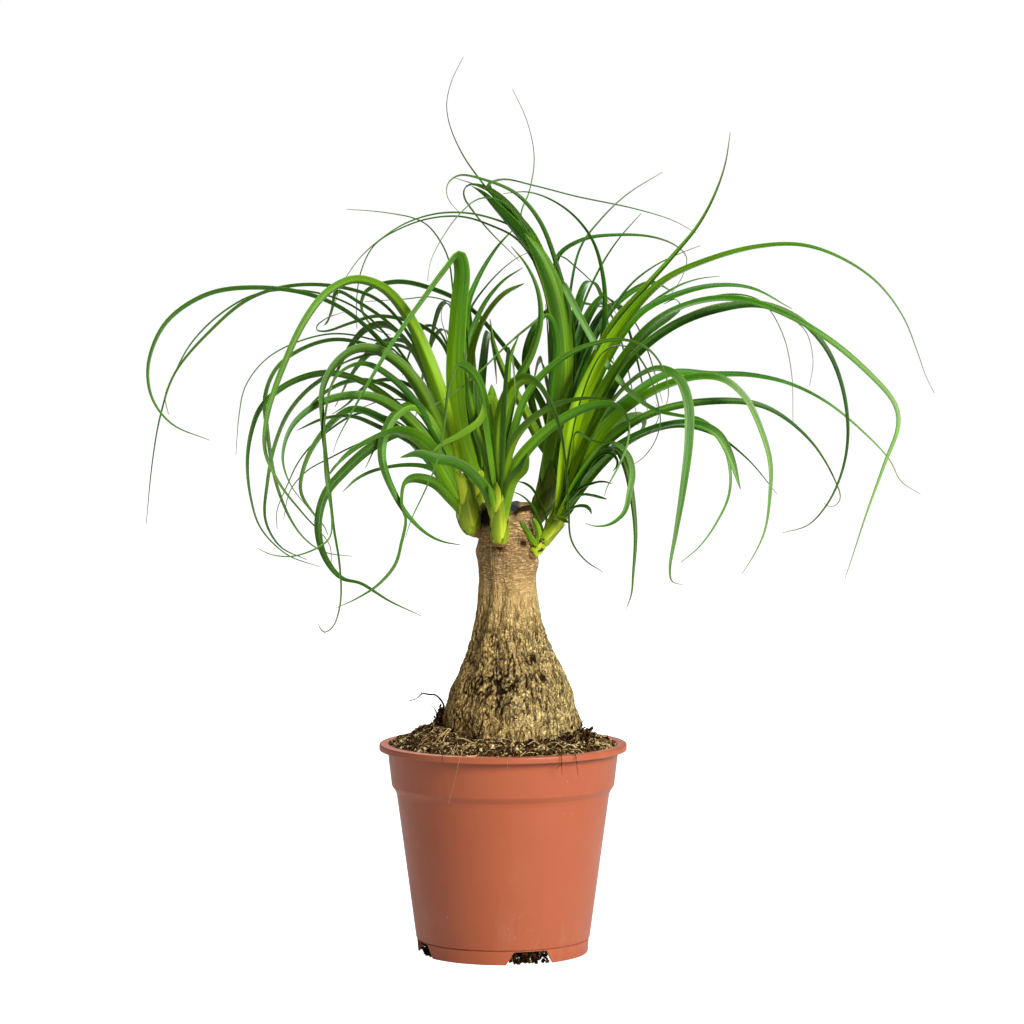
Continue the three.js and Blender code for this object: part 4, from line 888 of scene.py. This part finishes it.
LEAVES["shoot_front"] = [
    blunt(7, -58, -9,278, -17,289, -29,297.5, -42,300, -52,303, -63,300.5),
    blunt(9.5, -46, -5,305, -5,324, -9,336, -14,323, -25,315, -38,308, -43,304),
    strap(6, -108, -8,310, -14,345, -22,356, -28,357, -33,346, -36,322, -40,300, -48,280, -56,263, -60,251),
    strap(8, -120, -3,305, -1,328, 6,344, 14,349, 22,345, 30,332, 36,316, 39,296, 40.5,270, 42,250, 50,238,
        61,230.5),
    strap(7, -74, 3,303, 9,315, 20,326, 36,334, 54,337, 69,335),
    strap(8, -92, 6,292, 20,311, 38,325, 56,332.5, 70,332, 77,323, 76,309, 70,294, 64,283, 62,277),
    blunt(8, -50, 5,286, 12,294, 15.5,303),
    blunt(4.5, -34, -5,272, -8.5,284),
    strap(6, -64, 6,314, 13,336, 22,349, 36,361, 52,369, 72,372.5, 88,367, 98,354, 101,340, 99,330),
    strap(6, -36, 1,312, 8,345, 18,365, 23,385, 21,403, 14,418, 5,429),
    blunt(9, -32, -4,305, -6,326, -7,345),
    strap(8, -40, -10,303, -17,322, -21,342, -24,366),
    strap(7, -30, -2,310, 2,336, 4,360, 10,376),
]


def to_view(x, y, z):
    """From a real point to its place in the view plane, with its depth last."""
    scale = 1 + y / VIEW_DISTANCE
    return places(VIEW_X + (x - VIEW_X) / scale, VIEW_Z + (z - VIEW_Z) / scale, y)


def from_view(seen):
    """From places in the view plane, x, z and depth, to real points."""
    x, z, y = np.moveaxis(seen, -1, 0)
    scale = 1 + y / VIEW_DISTANCE
    return places(VIEW_X + (x - VIEW_X) * scale, y, VIEW_Z + (z - VIEW_Z) * scale)


def hidden_leaves(name, draw):
    """More leaves at the sides and back that the front view hides: each runs out on its own bearing,
    rises to the top of its arch and droops, with its numbers drawn from a fixed row."""
    count, start, stop = HIDDEN_LEAVES[name]
    root_x, root_y, root_z, _ = SHOOTS[name][-1]
    for number in range(count):
        bearing = np.radians(start + (stop - start) * (number + 0.2 + 0.6 * next(draw)) / count)
        reach, rise, top, width = (
            least + more * next(draw)
            for least, more in (HIDDEN_REACH, HIDDEN_RISE, HIDDEN_TOP, HIDDEN_WIDTH))
        along = np.array([0.16, 0.34, 0.52, 0.7, 0.86, 1])
        height = rise * (1 - ((along - top) / top) ** 2)
        out_x, out_y = swung(reach * along, 0, bearing)
        through = to_view(root_x + out_x, root_y + out_y, root_z + height)
        yield {"width": width, "taper": STRAP, "through": through}


def curve_at(knots, t):
    """Points on a centripetal Catmull-Rom curve through the knots, at t from 0 to 1."""
    knots = np.vstack([2 * knots[0] - knots[1], knots, 2 * knots[-1] - knots[-2]])
    spot = t * (len(knots) - 3)
    first = np.minimum(spot.astype(int), len(knots) - 4)
    part = (spot - first)[:, None]
    a, b, c, d = (knots[first + step] for step in range(4))
    gap_a, gap_b, gap_c = (
        ((far - near) ** 2).sum(1)[:, None] ** 0.25 for near, far in ((a, b), (b, c), (c, d)))
    leave = ((b - a) / gap_a - (c - a) / (gap_a + gap_b) + (c - b) / gap_b) * gap_b
    arrive = ((c - b) / gap_b - (d - b) / (gap_b + gap_c) + (d - c) / gap_c) * gap_b
    square = -3 * b + 3 * c - 2 * leave - arrive
    cube = 2 * b - 2 * c + leave + arrive
    return b + part * (leave + part * (square + part * cube))


def leaf_route(stem, share, item):
    """A leaf's route as points 5 mm apart: its root on the stem, then the points it runs through, each
    deeper than the last by an equal share of the way to the tip's depth."""
    at = np.linspace(0, 1, len(stem))
    start = to_view(*(np.interp(share, at, stem[:, way]) for way in range(3)))
    through = item["through"]
    if through.shape[1] == 2:
        deeper = np.arange(1, len(through) + 1) / len(through)
        through = np.column_stack([through, start[2] + (item["depth"] - start[2]) * deeper])
    knots = np.vstack([start, through])
    at = np.linspace(0, 1, 16 * (len(knots) - 1) + 1)
    run = np.append(0, np.cumsum(np.linalg.norm(np.diff(curve_at(knots, at), axis=0), axis=1)))
    count = max(6, int(np.ceil(run[-1] / SAMPLE_STEP)))
    return curve_at(knots, np.interp(np.linspace(0, 1, count + 1) * run[-1], run, at))


def width_along(item, along, tip=TIP_WIDTH):
    """The width of a leaf part-way along it."""
    widen = np.minimum(1, 0.6 + 2.6 * along)
    return tip + (item["width"] - tip) * (1 - along ** item["taper"]) * widen


def climb_of(item, stem):
    """How steeply a leaf leaves its stem, in radians above level."""
    first = item["through"][0]
    depth = first[2] if len(first) == 3 else stem[1, 1]
    return np.arctan2(first[1] - stem[1, 2], np.hypot(first[0] - stem[1, 0], depth - stem[1, 1]))


leaves = []
leaf_draw = draws(LEAF_SEED)
for owner, (name, stem) in enumerate(SHOOTS.items()):
    stem = np.array(stem)
    grown = LEAVES[name] + list(hidden_leaves(name, leaf_draw))
    climb = np.array([climb_of(item, stem) for item in grown])
    for number, item in enumerate(grown):
        rank = np.mean(climb < climb[number])
        share = LOW_PLACE if item.get("low") else ROOT_LOWEST + (1 - ROOT_LOWEST) * rank
        route = leaf_route(stem, share, item)
        along = np.linspace(0, 1, len(route))
        leaves.append({
            "roll": LEAF_ROLL + LEAF_ROLL_SPREAD * (2 * next(leaf_draw) - 1),
            "twist": LEAF_TWIST * (2 * next(leaf_draw) - 1), "owner": owner, "rank": rank, "route": route,
            "widths": width_along(item, along),
            "free": smooth(along * len(route) * SAMPLE_STEP, 3, FREE_LENGTH)} | item)


def bend_clear(items):
    """Leaves of two shoots that pass in front of each other are bent clear: where they cross in the
    view, both are moved apart in depth until there is room for their blades. Roots stay put."""
    spots, widths, free = (
        np.concatenate([item[part] for item in items]) for part in ("route", "widths", "free"))
    counts = [len(item["route"]) for item in items]
    owners = np.repeat([item["owner"] for item in items], counts)
    starts = np.cumsum([0] + counts)
    pairs = []
    for begin, stop in zip(starts[:-1], starts[1:]):
        apart = np.linalg.norm(spots[begin:stop, None, :2] - spots[None, stop:, :2], axis=2)
        wide = (widths[begin:stop, None] + widths[None, stop:]) / 2
        loose = np.maximum(free[begin:stop, None], free[None, stop:]) > 0
        strange = owners[begin:stop, None] != owners[None, stop:]
        pairs.append(np.argwhere((apart < wide + CLEAR_BESIDE) & loose & strange) + (begin, stop))
    one, other = np.concatenate(pairs).T
    room = CLEAR_SHARE * (widths[one] + widths[other]) / 2 + CLEAR_LEAST
    before = np.arange(len(spots)) - 1
    after = before + 2
    before[starts[:-1]] += 1
    after[starts[1:] - 1] -= 1
    for _ in range(CLEAR_ROUNDS):
        apart = spots[one, 2] - spots[other, 2]
        lack = np.clip(room - np.abs(apart), 0, None)
        move = lack / 2 * np.where(apart < 0, -1, 1)
        push = np.bincount(one, move, len(spots)) - np.bincount(other, move, len(spots))
        hits = 1 + np.bincount(one, lack > 0, len(spots)) + np.bincount(other, lack > 0, len(spots))
        push = PUSH * push / hits
        for _ in range(3):
            push = 0.25 * push[before] + 0.5 * push + 0.25 * push[after]
        spots[:, 2] += push * free
    for item, route in zip(items, np.split(spots, starts[1:-1])):
        item["route"] = route


bend_clear(leaves)
for item in leaves:
    depth = item["route"][:, 2]
    for _ in range(BROAD_EASE_ROUNDS if item["width"] >= BROAD else EASE_ROUNDS):
        depth[1:-1] = 0.25 * depth[:-2] + 0.5 * depth[1:-1] + 0.25 * depth[2:]


# The blades. Each is a closed strap with a shallow keel and a gutter above it: twelve points round a
# section, carried along the leaf's route and turned slowly about it, thin at the edges and the tip.
LEAF_ROWS = 96
FOOT_ROLL = 26
FINE_TIP = 0.45
KEEL_DEEPEST = 1.9
BLADE_THICKEST = 0.55
GUTTER = [-1, -0.66, -0.33, 0, 0.33, 0.66, 1]
UNDERSIDE = [0.66, 0.33, 0, -0.33, -0.66]
GOLDEN_STEP = 0.618


def unit(vectors):
    """The vectors at length one."""
    return vectors / np.linalg.norm(vectors, axis=-1, keepdims=True)


def listed(items, part):
    """One number of every item, as a column to work grids from."""
    return np.array([item.get(part, 0) for item in items])[:, None]


def blade_frames(items):
    """Middle lines of the leaves, with the directions across each blade and out of its underside. The
    direction across starts level, square to the way the leaf runs out, and is carried along with it."""
    along = np.linspace(0, 1, LEAF_ROWS)
    spine = from_view(np.stack([curve_at(item["route"], along) for item in items]))
    heading = unit(np.gradient(spine, axis=1))
    out = spine[:, -1] - spine[:, 0]
    side = unit(places(-out[:, 1], out[:, 0], 0))
    sides = []
    for ahead in np.moveaxis(heading, 1, 0):
        side = unit(side - (side * ahead).sum(-1, keepdims=True) * ahead)
        sides.append(side)
    side = np.stack(sides, 1)
    sway = 6 * np.sin(2 * np.pi * (1.7 * along + 0.37 * np.arange(len(items))[:, None]))
    facing = FOOT_ROLL * (1 - smooth(along, 0.08, 0.38))
    front = list(SHOOTS).index("shoot_front")
    hand = np.where((listed(items, "owner") == front) & (out[:, :1] > 0), -1, 1)
    turn = hand * (listed(items, "roll") + facing) + listed(items, "twist") * along + sway
    turn = np.radians(turn)[..., None]
    across = side * np.cos(turn) + np.cross(heading, side) * np.sin(turn)
    return spine, across, np.cross(across, heading)


def blade_surfaces(items):
    """Closed grids for the leaves, and the marks that their colour is worked from."""
    spine, across, under = blade_frames(items)
    along = np.linspace(0, 1, LEAF_ROWS)
    half = np.stack([width_along(item, along, FINE_TIP) / 2 for item in items])[..., None]
    spread = np.array(GUTTER + UNDERSIDE)
    far_out = np.abs(spread)
    keel = np.minimum(KEEL_DEEPEST, 0.1 + 0.42 * half)
    thick = np.minimum(BLADE_THICKEST, 0.12 + 0.16 * half)
    below = np.repeat([0.0, 1.0], [len(GUTTER), len(UNDERSIDE)])
    depth = keel * (1 - far_out ** 1.08) + (below - 0.5) * thick * (1 - far_out ** 3)
    ripple = 0.05 * half * np.sin(21 * along[:, None] + 2.4 * np.arange(len(items))[:, None, None])
    depth = depth + ripple * far_out ** 2
    grid = spine[:, :, None] + across[:, :, None] * (half * spread)[..., None]
    grid = grid + under[:, :, None] * depth[..., None]
    run = np.cumsum(np.linalg.norm(np.diff(spine, axis=1, prepend=spine[:, :1]), axis=-1), 1)[..., None]
    width, rank, taper, lime = (listed(items, part)[..., None] for part in ("width", "rank", "taper", "lime"))
    tone = np.modf(np.arange(1, len(items) + 1) * GOLDEN_STEP)[0][:, None, None]
    tone = np.where(lime, 0.5, tone)
    young = np.clip((width - 3) / 5.5, 0, 1) * (0.45 + 0.55 * rank)
    reach = 30 + 78 * young * np.maximum(1, width / 9)
    pale = young * np.exp(-(run / reach) ** 1.5) * (1 - 0.35 * far_out ** 2)
    pale = np.maximum(pale, 0.8 * np.exp(-(run / np.where(taper == BLUNT, 20, 11)) ** 2))
    pale = np.maximum(pale, 0.85 * lime * np.exp(-(run / 130) ** 3))
    far = run / run[:, -1:]
    # drop and the hang mark say where a leaf hangs down; the leaf's colour gets its painted sheen there.
    drop = -np.gradient(spine[..., 2], axis=1)[..., None] / np.gradient(run, axis=1)
    dry = smooth(far, np.where(taper == BLUNT, 0.98, 0.93 + 0.06 * tone), 1.0) * (width < 12)
    thin = smooth(-2 * half, -2.6, -0.9)
    slim = np.maximum(np.clip((1.35 - width / 7.5) * (0.5 + 0.75 * far), 0, 1), 0.8 * thin)
    return grid, {
        "lateral": half * spread, "run": run, "pale": pale, "dry": dry, "tone": tone, "slim": slim,
        "upper": 1 - below, "edge": far_out, "hang": smooth(drop, 0.1, 0.85) * smooth(tone, 0.05, 0.6)}


# The stems and sheaths. A stem is a short fleshy rod with shallow leaf scars, and sheaths are the pale
# leaf bases that clasp it, thin pointed scales that curl round it one above the other.
STEM_ROWS = 44
STEM_COLUMNS = 30
SHEATHS = 9
SHEATH_ROWS = 16
SHEATH_TOP = 0.74
SHEATH_LENGTH = 0.38
SHEATH_WRAP = np.radians(72)
GOLDEN_ANGLE = 2.4


def stem_line(stem, along):
    """Points on a stem's middle line with the radius there, and two directions square to it."""
    before, line, after = (
        curve_at(np.array(stem), (along + step).ravel()).reshape(*along.shape, 4)
        for step in (-0.01, 0, 0.01))
    heading = unit((after - before)[..., :3])
    side = unit(np.cross((0, 1, 0), heading))
    return line[..., None, :3], line[..., 3:], side[..., None, :], np.cross(heading, side)[..., None, :]


def turned_about_line(line, radius, angle, side, face):
    """Rings of points round a line, at a radius and an angle from two directions square to it."""
    return line + (radius * np.cos(angle))[..., None] * side + (radius * np.sin(angle))[..., None] * face


def sheath_surfaces(stem, foot):
    """Leaf bases that clasp a stem: thin pointed scales round it, each higher than the last and a
    golden angle further on. Seven points run across the outside of a scale and five back inside it."""
    number = np.arange(SHEATHS)[:, None]
    along = np.linspace(0, 1, SHEATH_ROWS)
    line, girth, side, face = stem_line(
        stem, foot + (SHEATH_TOP - foot) * number / SHEATHS + SHEATH_LENGTH * along)
    spread = np.concatenate([np.linspace(-1, 1, 7), np.linspace(1, -1, 7)[1:-1]])
    wrap = (SHEATH_WRAP * (1 - along ** 2) + 0.05)[:, None]
    radius = girth * 1.03 + np.repeat([0.35, 0], [7, 5]) + 1.1 * along[:, None] ** 2
    grid = turned_about_line(line, radius, GOLDEN_ANGLE * number[..., None] + wrap * spread, side, face)
    tone = np.modf(GOLDEN_STEP * number)[0][..., None]
    return grid, {
        "lateral": girth * wrap * spread, "run": 20 * along[:, None], "slim": 0, "dry": 0, "tone": tone,
        "pale": (1.3 - 0.75 * along)[:, None] * (0.75 + 0.25 * tone), "upper": 1, "hang": 0,
        "edge": np.abs(spread)}


def stem_surface(stem, rings_deep):
    """A stem: rings square to its middle line, swollen as its radius says, with shallow leaf scars."""
    along = np.linspace(0, 1, STEM_ROWS)
    line, girth, side, face = stem_line(stem, along)
    angle = circle(STEM_COLUMNS)
    scar = np.maximum(np.sin(along[:, None] * 34 + 2 * np.sin(angle)), 0) ** 3
    radius = girth * (1 - rings_deep * scar) * (1 - 0.85 * smooth(along, 0.86, 1))[:, None]
    return turned_about_line(line, radius, angle, side, face)


LEAF_DEEP = (0.002, 0.033, 0.000, 1)
LEAF_MID = (0.056, 0.30, 0.000, 1)
LEAF_LIME = (0.52, 0.80, 0.000, 1)
LEAF_COOL = (0.060, 0.20, 0.022, 1)
LEAF_UNDER = (0.068, 0.21, 0.006, 1)
LEAF_PAINTED_SHEEN = (0.36, 0.54, 0.19, 1)
HALF_PAINTED_SHADE = (0.25, 0.42, 0.30, 1)
LEAF_EDGE_HIGHLIGHT = (0.20, 0.38, 0.02, 1)
LEAF_PURPLE = (0.045, 0.038, 0.018, 1)
LEAF_VEIN = (0.0, 0.03, 0.0, 1)
LEAF_DRY = (0.17, 0.12, 0.06, 1)
STEM_LIME = (0.20, 0.33, 0.005, 1)
STEM_PALE = (0.58, 0.66, 0.030, 1)
STEM_SCAR = (0.045, 0.025, 0.01, 1)
STEM_FOOT = (0.21, 0.105, 0.035, 1)
SHEATH_OLIVE = (0.20, 0.23, 0.015, 1)
COOLNESS = {
    "shoot_left": 0.15, "shoot_front": 0.5, "shoot_right": 0.2, "shoot_back_left": 0.1,
    "shoot_back_right": 0.12,
}


def leaf_skin(place, cool, lime, lateral, run, pale, dry, tone, upper, edge, slim, hang):
    """Smooth strap leaf: deep green to mid green, lime at the base, with fine lengthwise veins, a paler
    greyer underside, a purplish cast on slim leaves and a dry tan tip. One half of each blade is darkened
    as painted shade, hanging parts get a painted sheen and the margins a painted highlight."""
    across = worked("CombineXYZ", {"X": lateral, "Y": run * 0.012, "Z": tone * 40.0})
    veins = grain(across, 1.5, 3.0, 0.65)
    broad = grain(across, 0.5, 3.0, 0.5)
    cloud = grain(place, 26.0, 3.0, 0.5)
    # half picks one side of each blade by its tone; that side is darkened as painted shade, for the fold's
    # shaded side.
    half = span(lateral * maths("SIGN", tone - 0.5), -0.25, 0.35)
    shade = span(veins, 0.3, 0.7)
    colour = layered(
        LEAF_DEEP, (span(tone * 0.6 + cloud * 0.7, 0.3, 0.95), LEAF_MID),
        (span(broad, 0.3, 0.75) * cool, LEAF_COOL), (pale + broad * 0.5 - 0.25, lime),
        ((1.0 - upper) * 0.3, LEAF_UNDER))
    colour = layered(
        colour, (half * 0.6, blend(1.0, colour, HALF_PAINTED_SHADE, "MULTIPLY")),
        # painted sheen: a pale green on hanging parts, for light reflected from their upper faces
        (hang * span(broad, 0.25, 0.7) * (upper * 0.25 + 0.3), LEAF_PAINTED_SHEEN),
        # painted highlight: the blade's margins are paler, for light caught along the edges
        (span(edge, 0.78, 1.0) * 0.5, LEAF_EDGE_HIGHLIGHT),
        (slim * span(edge, 0.15, 0.7) * span(cloud, 0.35, 0.6) * 0.95, LEAF_PURPLE))
    colour = layered(
        colour, (shade * -0.7 + 0.7, blend(0.6, colour, LEAF_VEIN, "MULTIPLY")), (dry, LEAF_DRY))
    return {"colour": colour, "relief": veins + broad, "roughness": shade * 0.14 + 0.36}


def stem_skin(place, up, woody):
    """Fleshy stem: lime, paler in streaks, brown where it joins the trunk and at old leaf scars."""
    streak = grain(place, 420.0, 4.0, 0.6, (1, 1, 0.35))
    spots = grain(place, 260.0, 5.0, 0.6)
    foot = span(span(up, 0.2, 0.06) + spots * 0.3, 0.35, 0.9)
    colour = layered(
        STEM_LIME, (span(streak, 0.35, 0.7), STEM_PALE), (span(spots, 0.49, 0.56) * woody, STEM_SCAR),
        (foot, STEM_FOOT))
    return {"colour": colour, "relief": streak + spots}


LEAF_MARKS = ("lateral", "run", "pale", "dry", "tone", "upper", "edge", "slim", "hang")
leaf_green = effect(
    "leaf", {"place": "Vector", "cool": "Float", "lime": "Color"} | dict.fromkeys(LEAF_MARKS, "Float"),
    leaf_skin)
stem_green = effect("stem", {"place": "Vector", "up": "Float", "woody": "Float"}, stem_skin)


def leaf_finish(name, cool, lime):
    """One shoot's leaves, by how cool their green is and what colour their bases are."""
    material = finish_of(
        name, Specular_IOR_Level=0.2, Subsurface_Weight=0.15, Subsurface_Scale=0.0012,
        Subsurface_Radius=(0.5, 1.0, 0.1))
    given = {"place": place_in(material), "cool": cool, "lime": lime}
    given |= zip(LEAF_MARKS, marked(material, *LEAF_MARKS))
    skin = node(material.node_tree, "Group", given, node_tree=leaf_green)
    colour, relief, rough = (Shade(end) for end in skin.outputs)
    dress(material, colour, relief, 0.0003, 0.5, rough)
    return material


def stem_finish(name, woody):
    """One shoot's stem, by how far its scars show."""
    material = finish_of(name, Roughness=0.5, Specular_IOR_Level=0.2)
    given = {"place": place_in(material), "up": axis(place_in(material, "UV"), "Y"), "woody": woody}
    skin = node(material.node_tree, "Group", given, node_tree=stem_green)
    colour, relief = (Shade(end) for end in skin.outputs)
    dress(material, colour, relief, 0.0006, 0.7)
    return material


for owner, (name, stem) in enumerate(SHOOTS.items()):
    woody = 1.0 if name == "shoot_right" else 0.25
    clasp = SHEATH_OLIVE if name == "shoot_back_right" else STEM_PALE
    grid, marks = blade_surfaces([item for item in leaves if item["owner"] == owner])
    foliage = closed_skin(name + "_leaves", grid, marks, 50)
    foliage.data.materials.append(leaf_finish(name + "_green", COOLNESS[name], LEAF_LIME))
    sheaths = closed_skin(name + "_sheaths", *sheath_surfaces(stem, 0.12 + 0.34 * (woody == 1)))
    sheaths.data.materials.append(leaf_finish(name + "_sheath_green", 0.0, clasp))
    stalk = closed_skin(name + "_stem", stem_surface(stem, 0.06 * (1 + woody)))
    stalk.data.materials.append(stem_finish(name + "_flesh", woody))
    for piece in (foliage, sheaths, stalk):
        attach(piece, "root")
    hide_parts(name)


# Loose bits on the soil. Crumbs of peat and bark, tan fibres and pale grains, heaped a little higher
# left and right of the trunk, with every place, size and bend drawn from one fixed row of numbers.
CRUMBS = 4550
CRUMB_COLUMNS = 5
CRUMB_POLAR = np.radians([48, 90, 132])[:, None]
CLUMPS = [
    (110, (-38.2, 1, 143.5), (0.6, 3, 2.2)), (170, (-40, 1, 138), (1.2, 5, 2.4)),
    (170, (-44, 1, 133), (2.6, 7, 1.5)), (260, (38, -30, 132.5), (7, 4, 2.2)),
    (120, (49, -12, 133.5), (3.5, 6, 1.5))]
# Crumbs in the drainage notches, as count, middle and spread: soil, and a dark fill for the notches' deep
# shade, painted shade.
NOTCH_FILL = (190, (46, 0, 2.2), (2.4, 7.0, 3.0))
NOTCH_FILL_OUT = 49.8
NOTCH_FILL_ASIDE = 11.5
CRUMB_LARGEST = 2.4
LOOSE_SEED = 5
FIBRES = 560
FIBRE_ROWS = 9
LOOSE_INNER = 43
LOOSE_OUTER = 69
chance = np.random.default_rng(LOOSE_SEED)


def scattered(count, outer):
    """Places spread evenly by area over the soil's ring, from the trunk to the wall."""
    turn = chance.uniform(0, 2 * np.pi, count)
    radius = np.sqrt(chance.uniform(LOOSE_INNER ** 2, outer ** 2, count))
    return TRUNK_MIDDLE * (1 - radius / outer) + radius * np.cos(turn), radius * np.sin(turn)


def heaped(count, middle, spread):
    """Places crowded round one point, as a clump."""
    return np.array(middle) + chance.normal(0, 1, (count, 3)) * spread


def notch_fill(notch_turn):
    """Crumbs in one drainage notch: soil, and a dark fill for the notch's deep shade, painted shade."""
    out, round_way, rise = heaped(*NOTCH_FILL).T
    out, round_way = np.minimum(out, NOTCH_FILL_OUT), np.clip(round_way, -NOTCH_FILL_ASIDE, NOTCH_FILL_ASIDE)
    return places(*swung(out, round_way, notch_turn), np.clip(rise, GROUND + 0.8, NOTCH_TOP))


x, y = scattered(CRUMBS, 68.4)
spots = np.concatenate([places(x, y, soil_height(x, y)), *(heaped(*clump) for clump in CLUMPS)])
level = len(spots)
spots = np.concatenate([spots, *(notch_fill(turn) for turn in notch_turns.ravel())])
count = len(spots)
size = np.minimum(0.3 + chance.exponential(0.36, count), CRUMB_LARGEST)
size[level:] += 0.8
round_at = circle(CRUMB_COLUMNS)
ball = places(*swung(np.sin(CRUMB_POLAR), 0, round_at), np.cos(CRUMB_POLAR))
lumpy = chance.uniform(0.65, 1.2, (count, *ball.shape[:2], 1))
axes = unit(chance.normal(0, 1, (count, 3)))
other = unit(np.cross(axes, chance.normal(0, 1, (count, 3))))
turned = np.stack([axes * chance.uniform(0.8, 2.2, (count, 1)), other, np.cross(axes, other)], 1)
crumb_grid = np.einsum("nrcj,njk->nrck", ball * lumpy, turned) * size[:, None, None, None] * 0.75
crumb_grid = crumb_grid + spots[:, None, None] + (0, 0, 0.15)
crumb_grid[..., 2] = np.maximum(crumb_grid[..., 2], GROUND + 0.05)
bright = chance.uniform(0, 1, count) < np.where(size < 0.8, 0.36, 0.16)
shade = np.where(bright, chance.uniform(0.62, 1.1, count), chance.uniform(0, 0.42, count))
# Clumps and notch crumbs are darker; in the notches this darkness is painted shade.
shade[CRUMBS:] *= 0.6
crumbs = closed_skin("soil_crumbs", crumb_grid, {"shade": shade[:, None, None]}, 25)

x, y = (value[:, None] for value in scattered(FIBRES, 68.8))
length = chance.uniform(3, 15, FIBRES)[:, None]
bearing = chance.uniform(0, 2 * np.pi, FIBRES)[:, None]
bend = chance.normal(0, 0.8, FIBRES)[:, None]
lift = chance.uniform(0.2, 0.9, FIBRES)[:, None]
along = np.linspace(0, 1, FIBRE_ROWS)
way_x, way_y = swung(length * along, 0, bearing + bend * along)
inside = np.minimum(1, LOOSE_OUTER / np.hypot(x + way_x, y + way_y))
way_x, way_y = (x + way_x) * inside, (y + way_y) * inside
fibre_line = places(way_x, way_y, soil_height(way_x, way_y) + 0.4 + 1.6 * lift * np.sin(np.pi * along))


def strings(line, radius, columns=5):
    """Thin round strings along many lines at once: rings square to each line, tapered to both ends."""
    ahead = unit(np.gradient(line, axis=1))
    side = unit(np.cross(ahead, (0.31, 0.17, 0.94)))
    face = np.cross(ahead, side)
    rings = radius[..., None]
    return turned_about_line(line[:, :, None], rings, circle(columns), side[:, :, None], face[:, :, None])


fibre_radius = chance.uniform(0.13, 0.32, (FIBRES, 1)) * (1 - 0.7 * along)
fibre_shade = chance.beta(2.0, 1.6, FIBRES)[:, None, None]
fibres = closed_skin("soil_fibres", strings(fibre_line, fibre_radius), {"shade": fibre_shade})

PALE_GRAIN = (0.72, 0.56, 0.26, 1)

loose = finish_of("loose_bits", Roughness=0.9, Specular_IOR_Level=0.06)
fine = grain(place_in(loose), 900.0, 4.0)
shade = marked(loose, "shade")[0] + fine * 0.4 - 0.2
colour = layered(
    PEAT, (span(shade, 0.05, 0.42), HUMUS), (span(shade, 0.42, 0.66), BARK_DUST),
    (span(shade, 0.7, 0.92), PALE_GRAIN))
dress(loose, colour, fine, 0.0006)

for piece in (crumbs, fibres):
    piece.data.materials.append(loose)
    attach(piece, "root")


# Roots and twigs. A dry forked root stands up at the trunk's left foot, a short one at the right, and
# fine rootlets hang over the rim. Each is a tapered string through listed points.
ROOTLET_ROWS = 30
ROOTLETS = [
    (0.75, 0.10, [-38,1,138, -37.5,0,144, -36.2,-1,148.5, -41,-2,155, -45.4,-3,155.6, -49,-3,156.2,
        -53,-2,153, -58,-1,151.2]),
    (0.35, 0.22, [-49.5,-3,156, -50.2,-3.4,157.6, -50.8,-3.6,158.2]),
    (0.45, 0.16, [-40,1,142, -42,0,146.5, -45,-1,149.5]),
    (0.55, 0.20, [46,-13,133, 47,-13.5,137, 49.2,-14,141.5]),
    (0.55, 0.95, [-9,-51,129, -13,-58,126.5, -17,-66,125.6, -21.5,-71.5,126.4]),
    (0.60, 0.85, [-36,-32,130, -30,-38,132, -24,-43,133.2, -16,-48,130.5, -10,-50,129]),
    (0.14, 0.62, [-22,-66,126.2, -24.5,-71,126.6, -26.5,-73.5,119, -28.5,-66.5,110, -30,-64.5,104,
        -32,-63.8,97]),
    (0.34, 0.20, [33.5,-62,126.2, 34.3,-67.5,126.4, 34.5,-68.8,121.5, 34.9,-66,114]),
    (0.22, 0.20, [34.5,-68.2,121, 32.6,-68.4,119.6, 31.4,-68.6,117.8]),
    (0.30, 0.18, [40.5,-58,126, 42.6,-62.5,126.3, 43.4,-63.5,121, 44.4,-59.5,113]),
    (0.24, 0.25, [-34,-61,126.3, -35.2,-66,126.4, -35.5,-67.2,121]),
    (0.12, 0.75, [-66,-10,126, -68.5,-12,131, -67,-13,136.5]),
    (0.14, 0.70, [3.5,-66,126, 4,-71,126.4, 3,-74.6,125, 2.6,-75.6,119]),
]
along = np.linspace(0, 1, ROOTLET_ROWS)
line = np.stack([curve_at(np.reshape(points, (-1, 3)), along) for _, _, points in ROOTLETS])
line[..., :2] *= 1 + 0.011 * smooth(np.hypot(line[..., 0], line[..., 1]), 56, 64)[..., None]
thick = np.array([size for size, _, _ in ROOTLETS])[:, None] * (1 - 0.65 * along)
thick = thick * (1 + 0.18 * noise(line / 2.5, 61))
tints = np.array([tint for _, tint, _ in ROOTLETS])[:, None, None]
rootlets = closed_skin("rootlets", strings(line, thick, 8), {"shade": tints})
rootlets.data.materials.append(loose)
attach(rootlets, "root")
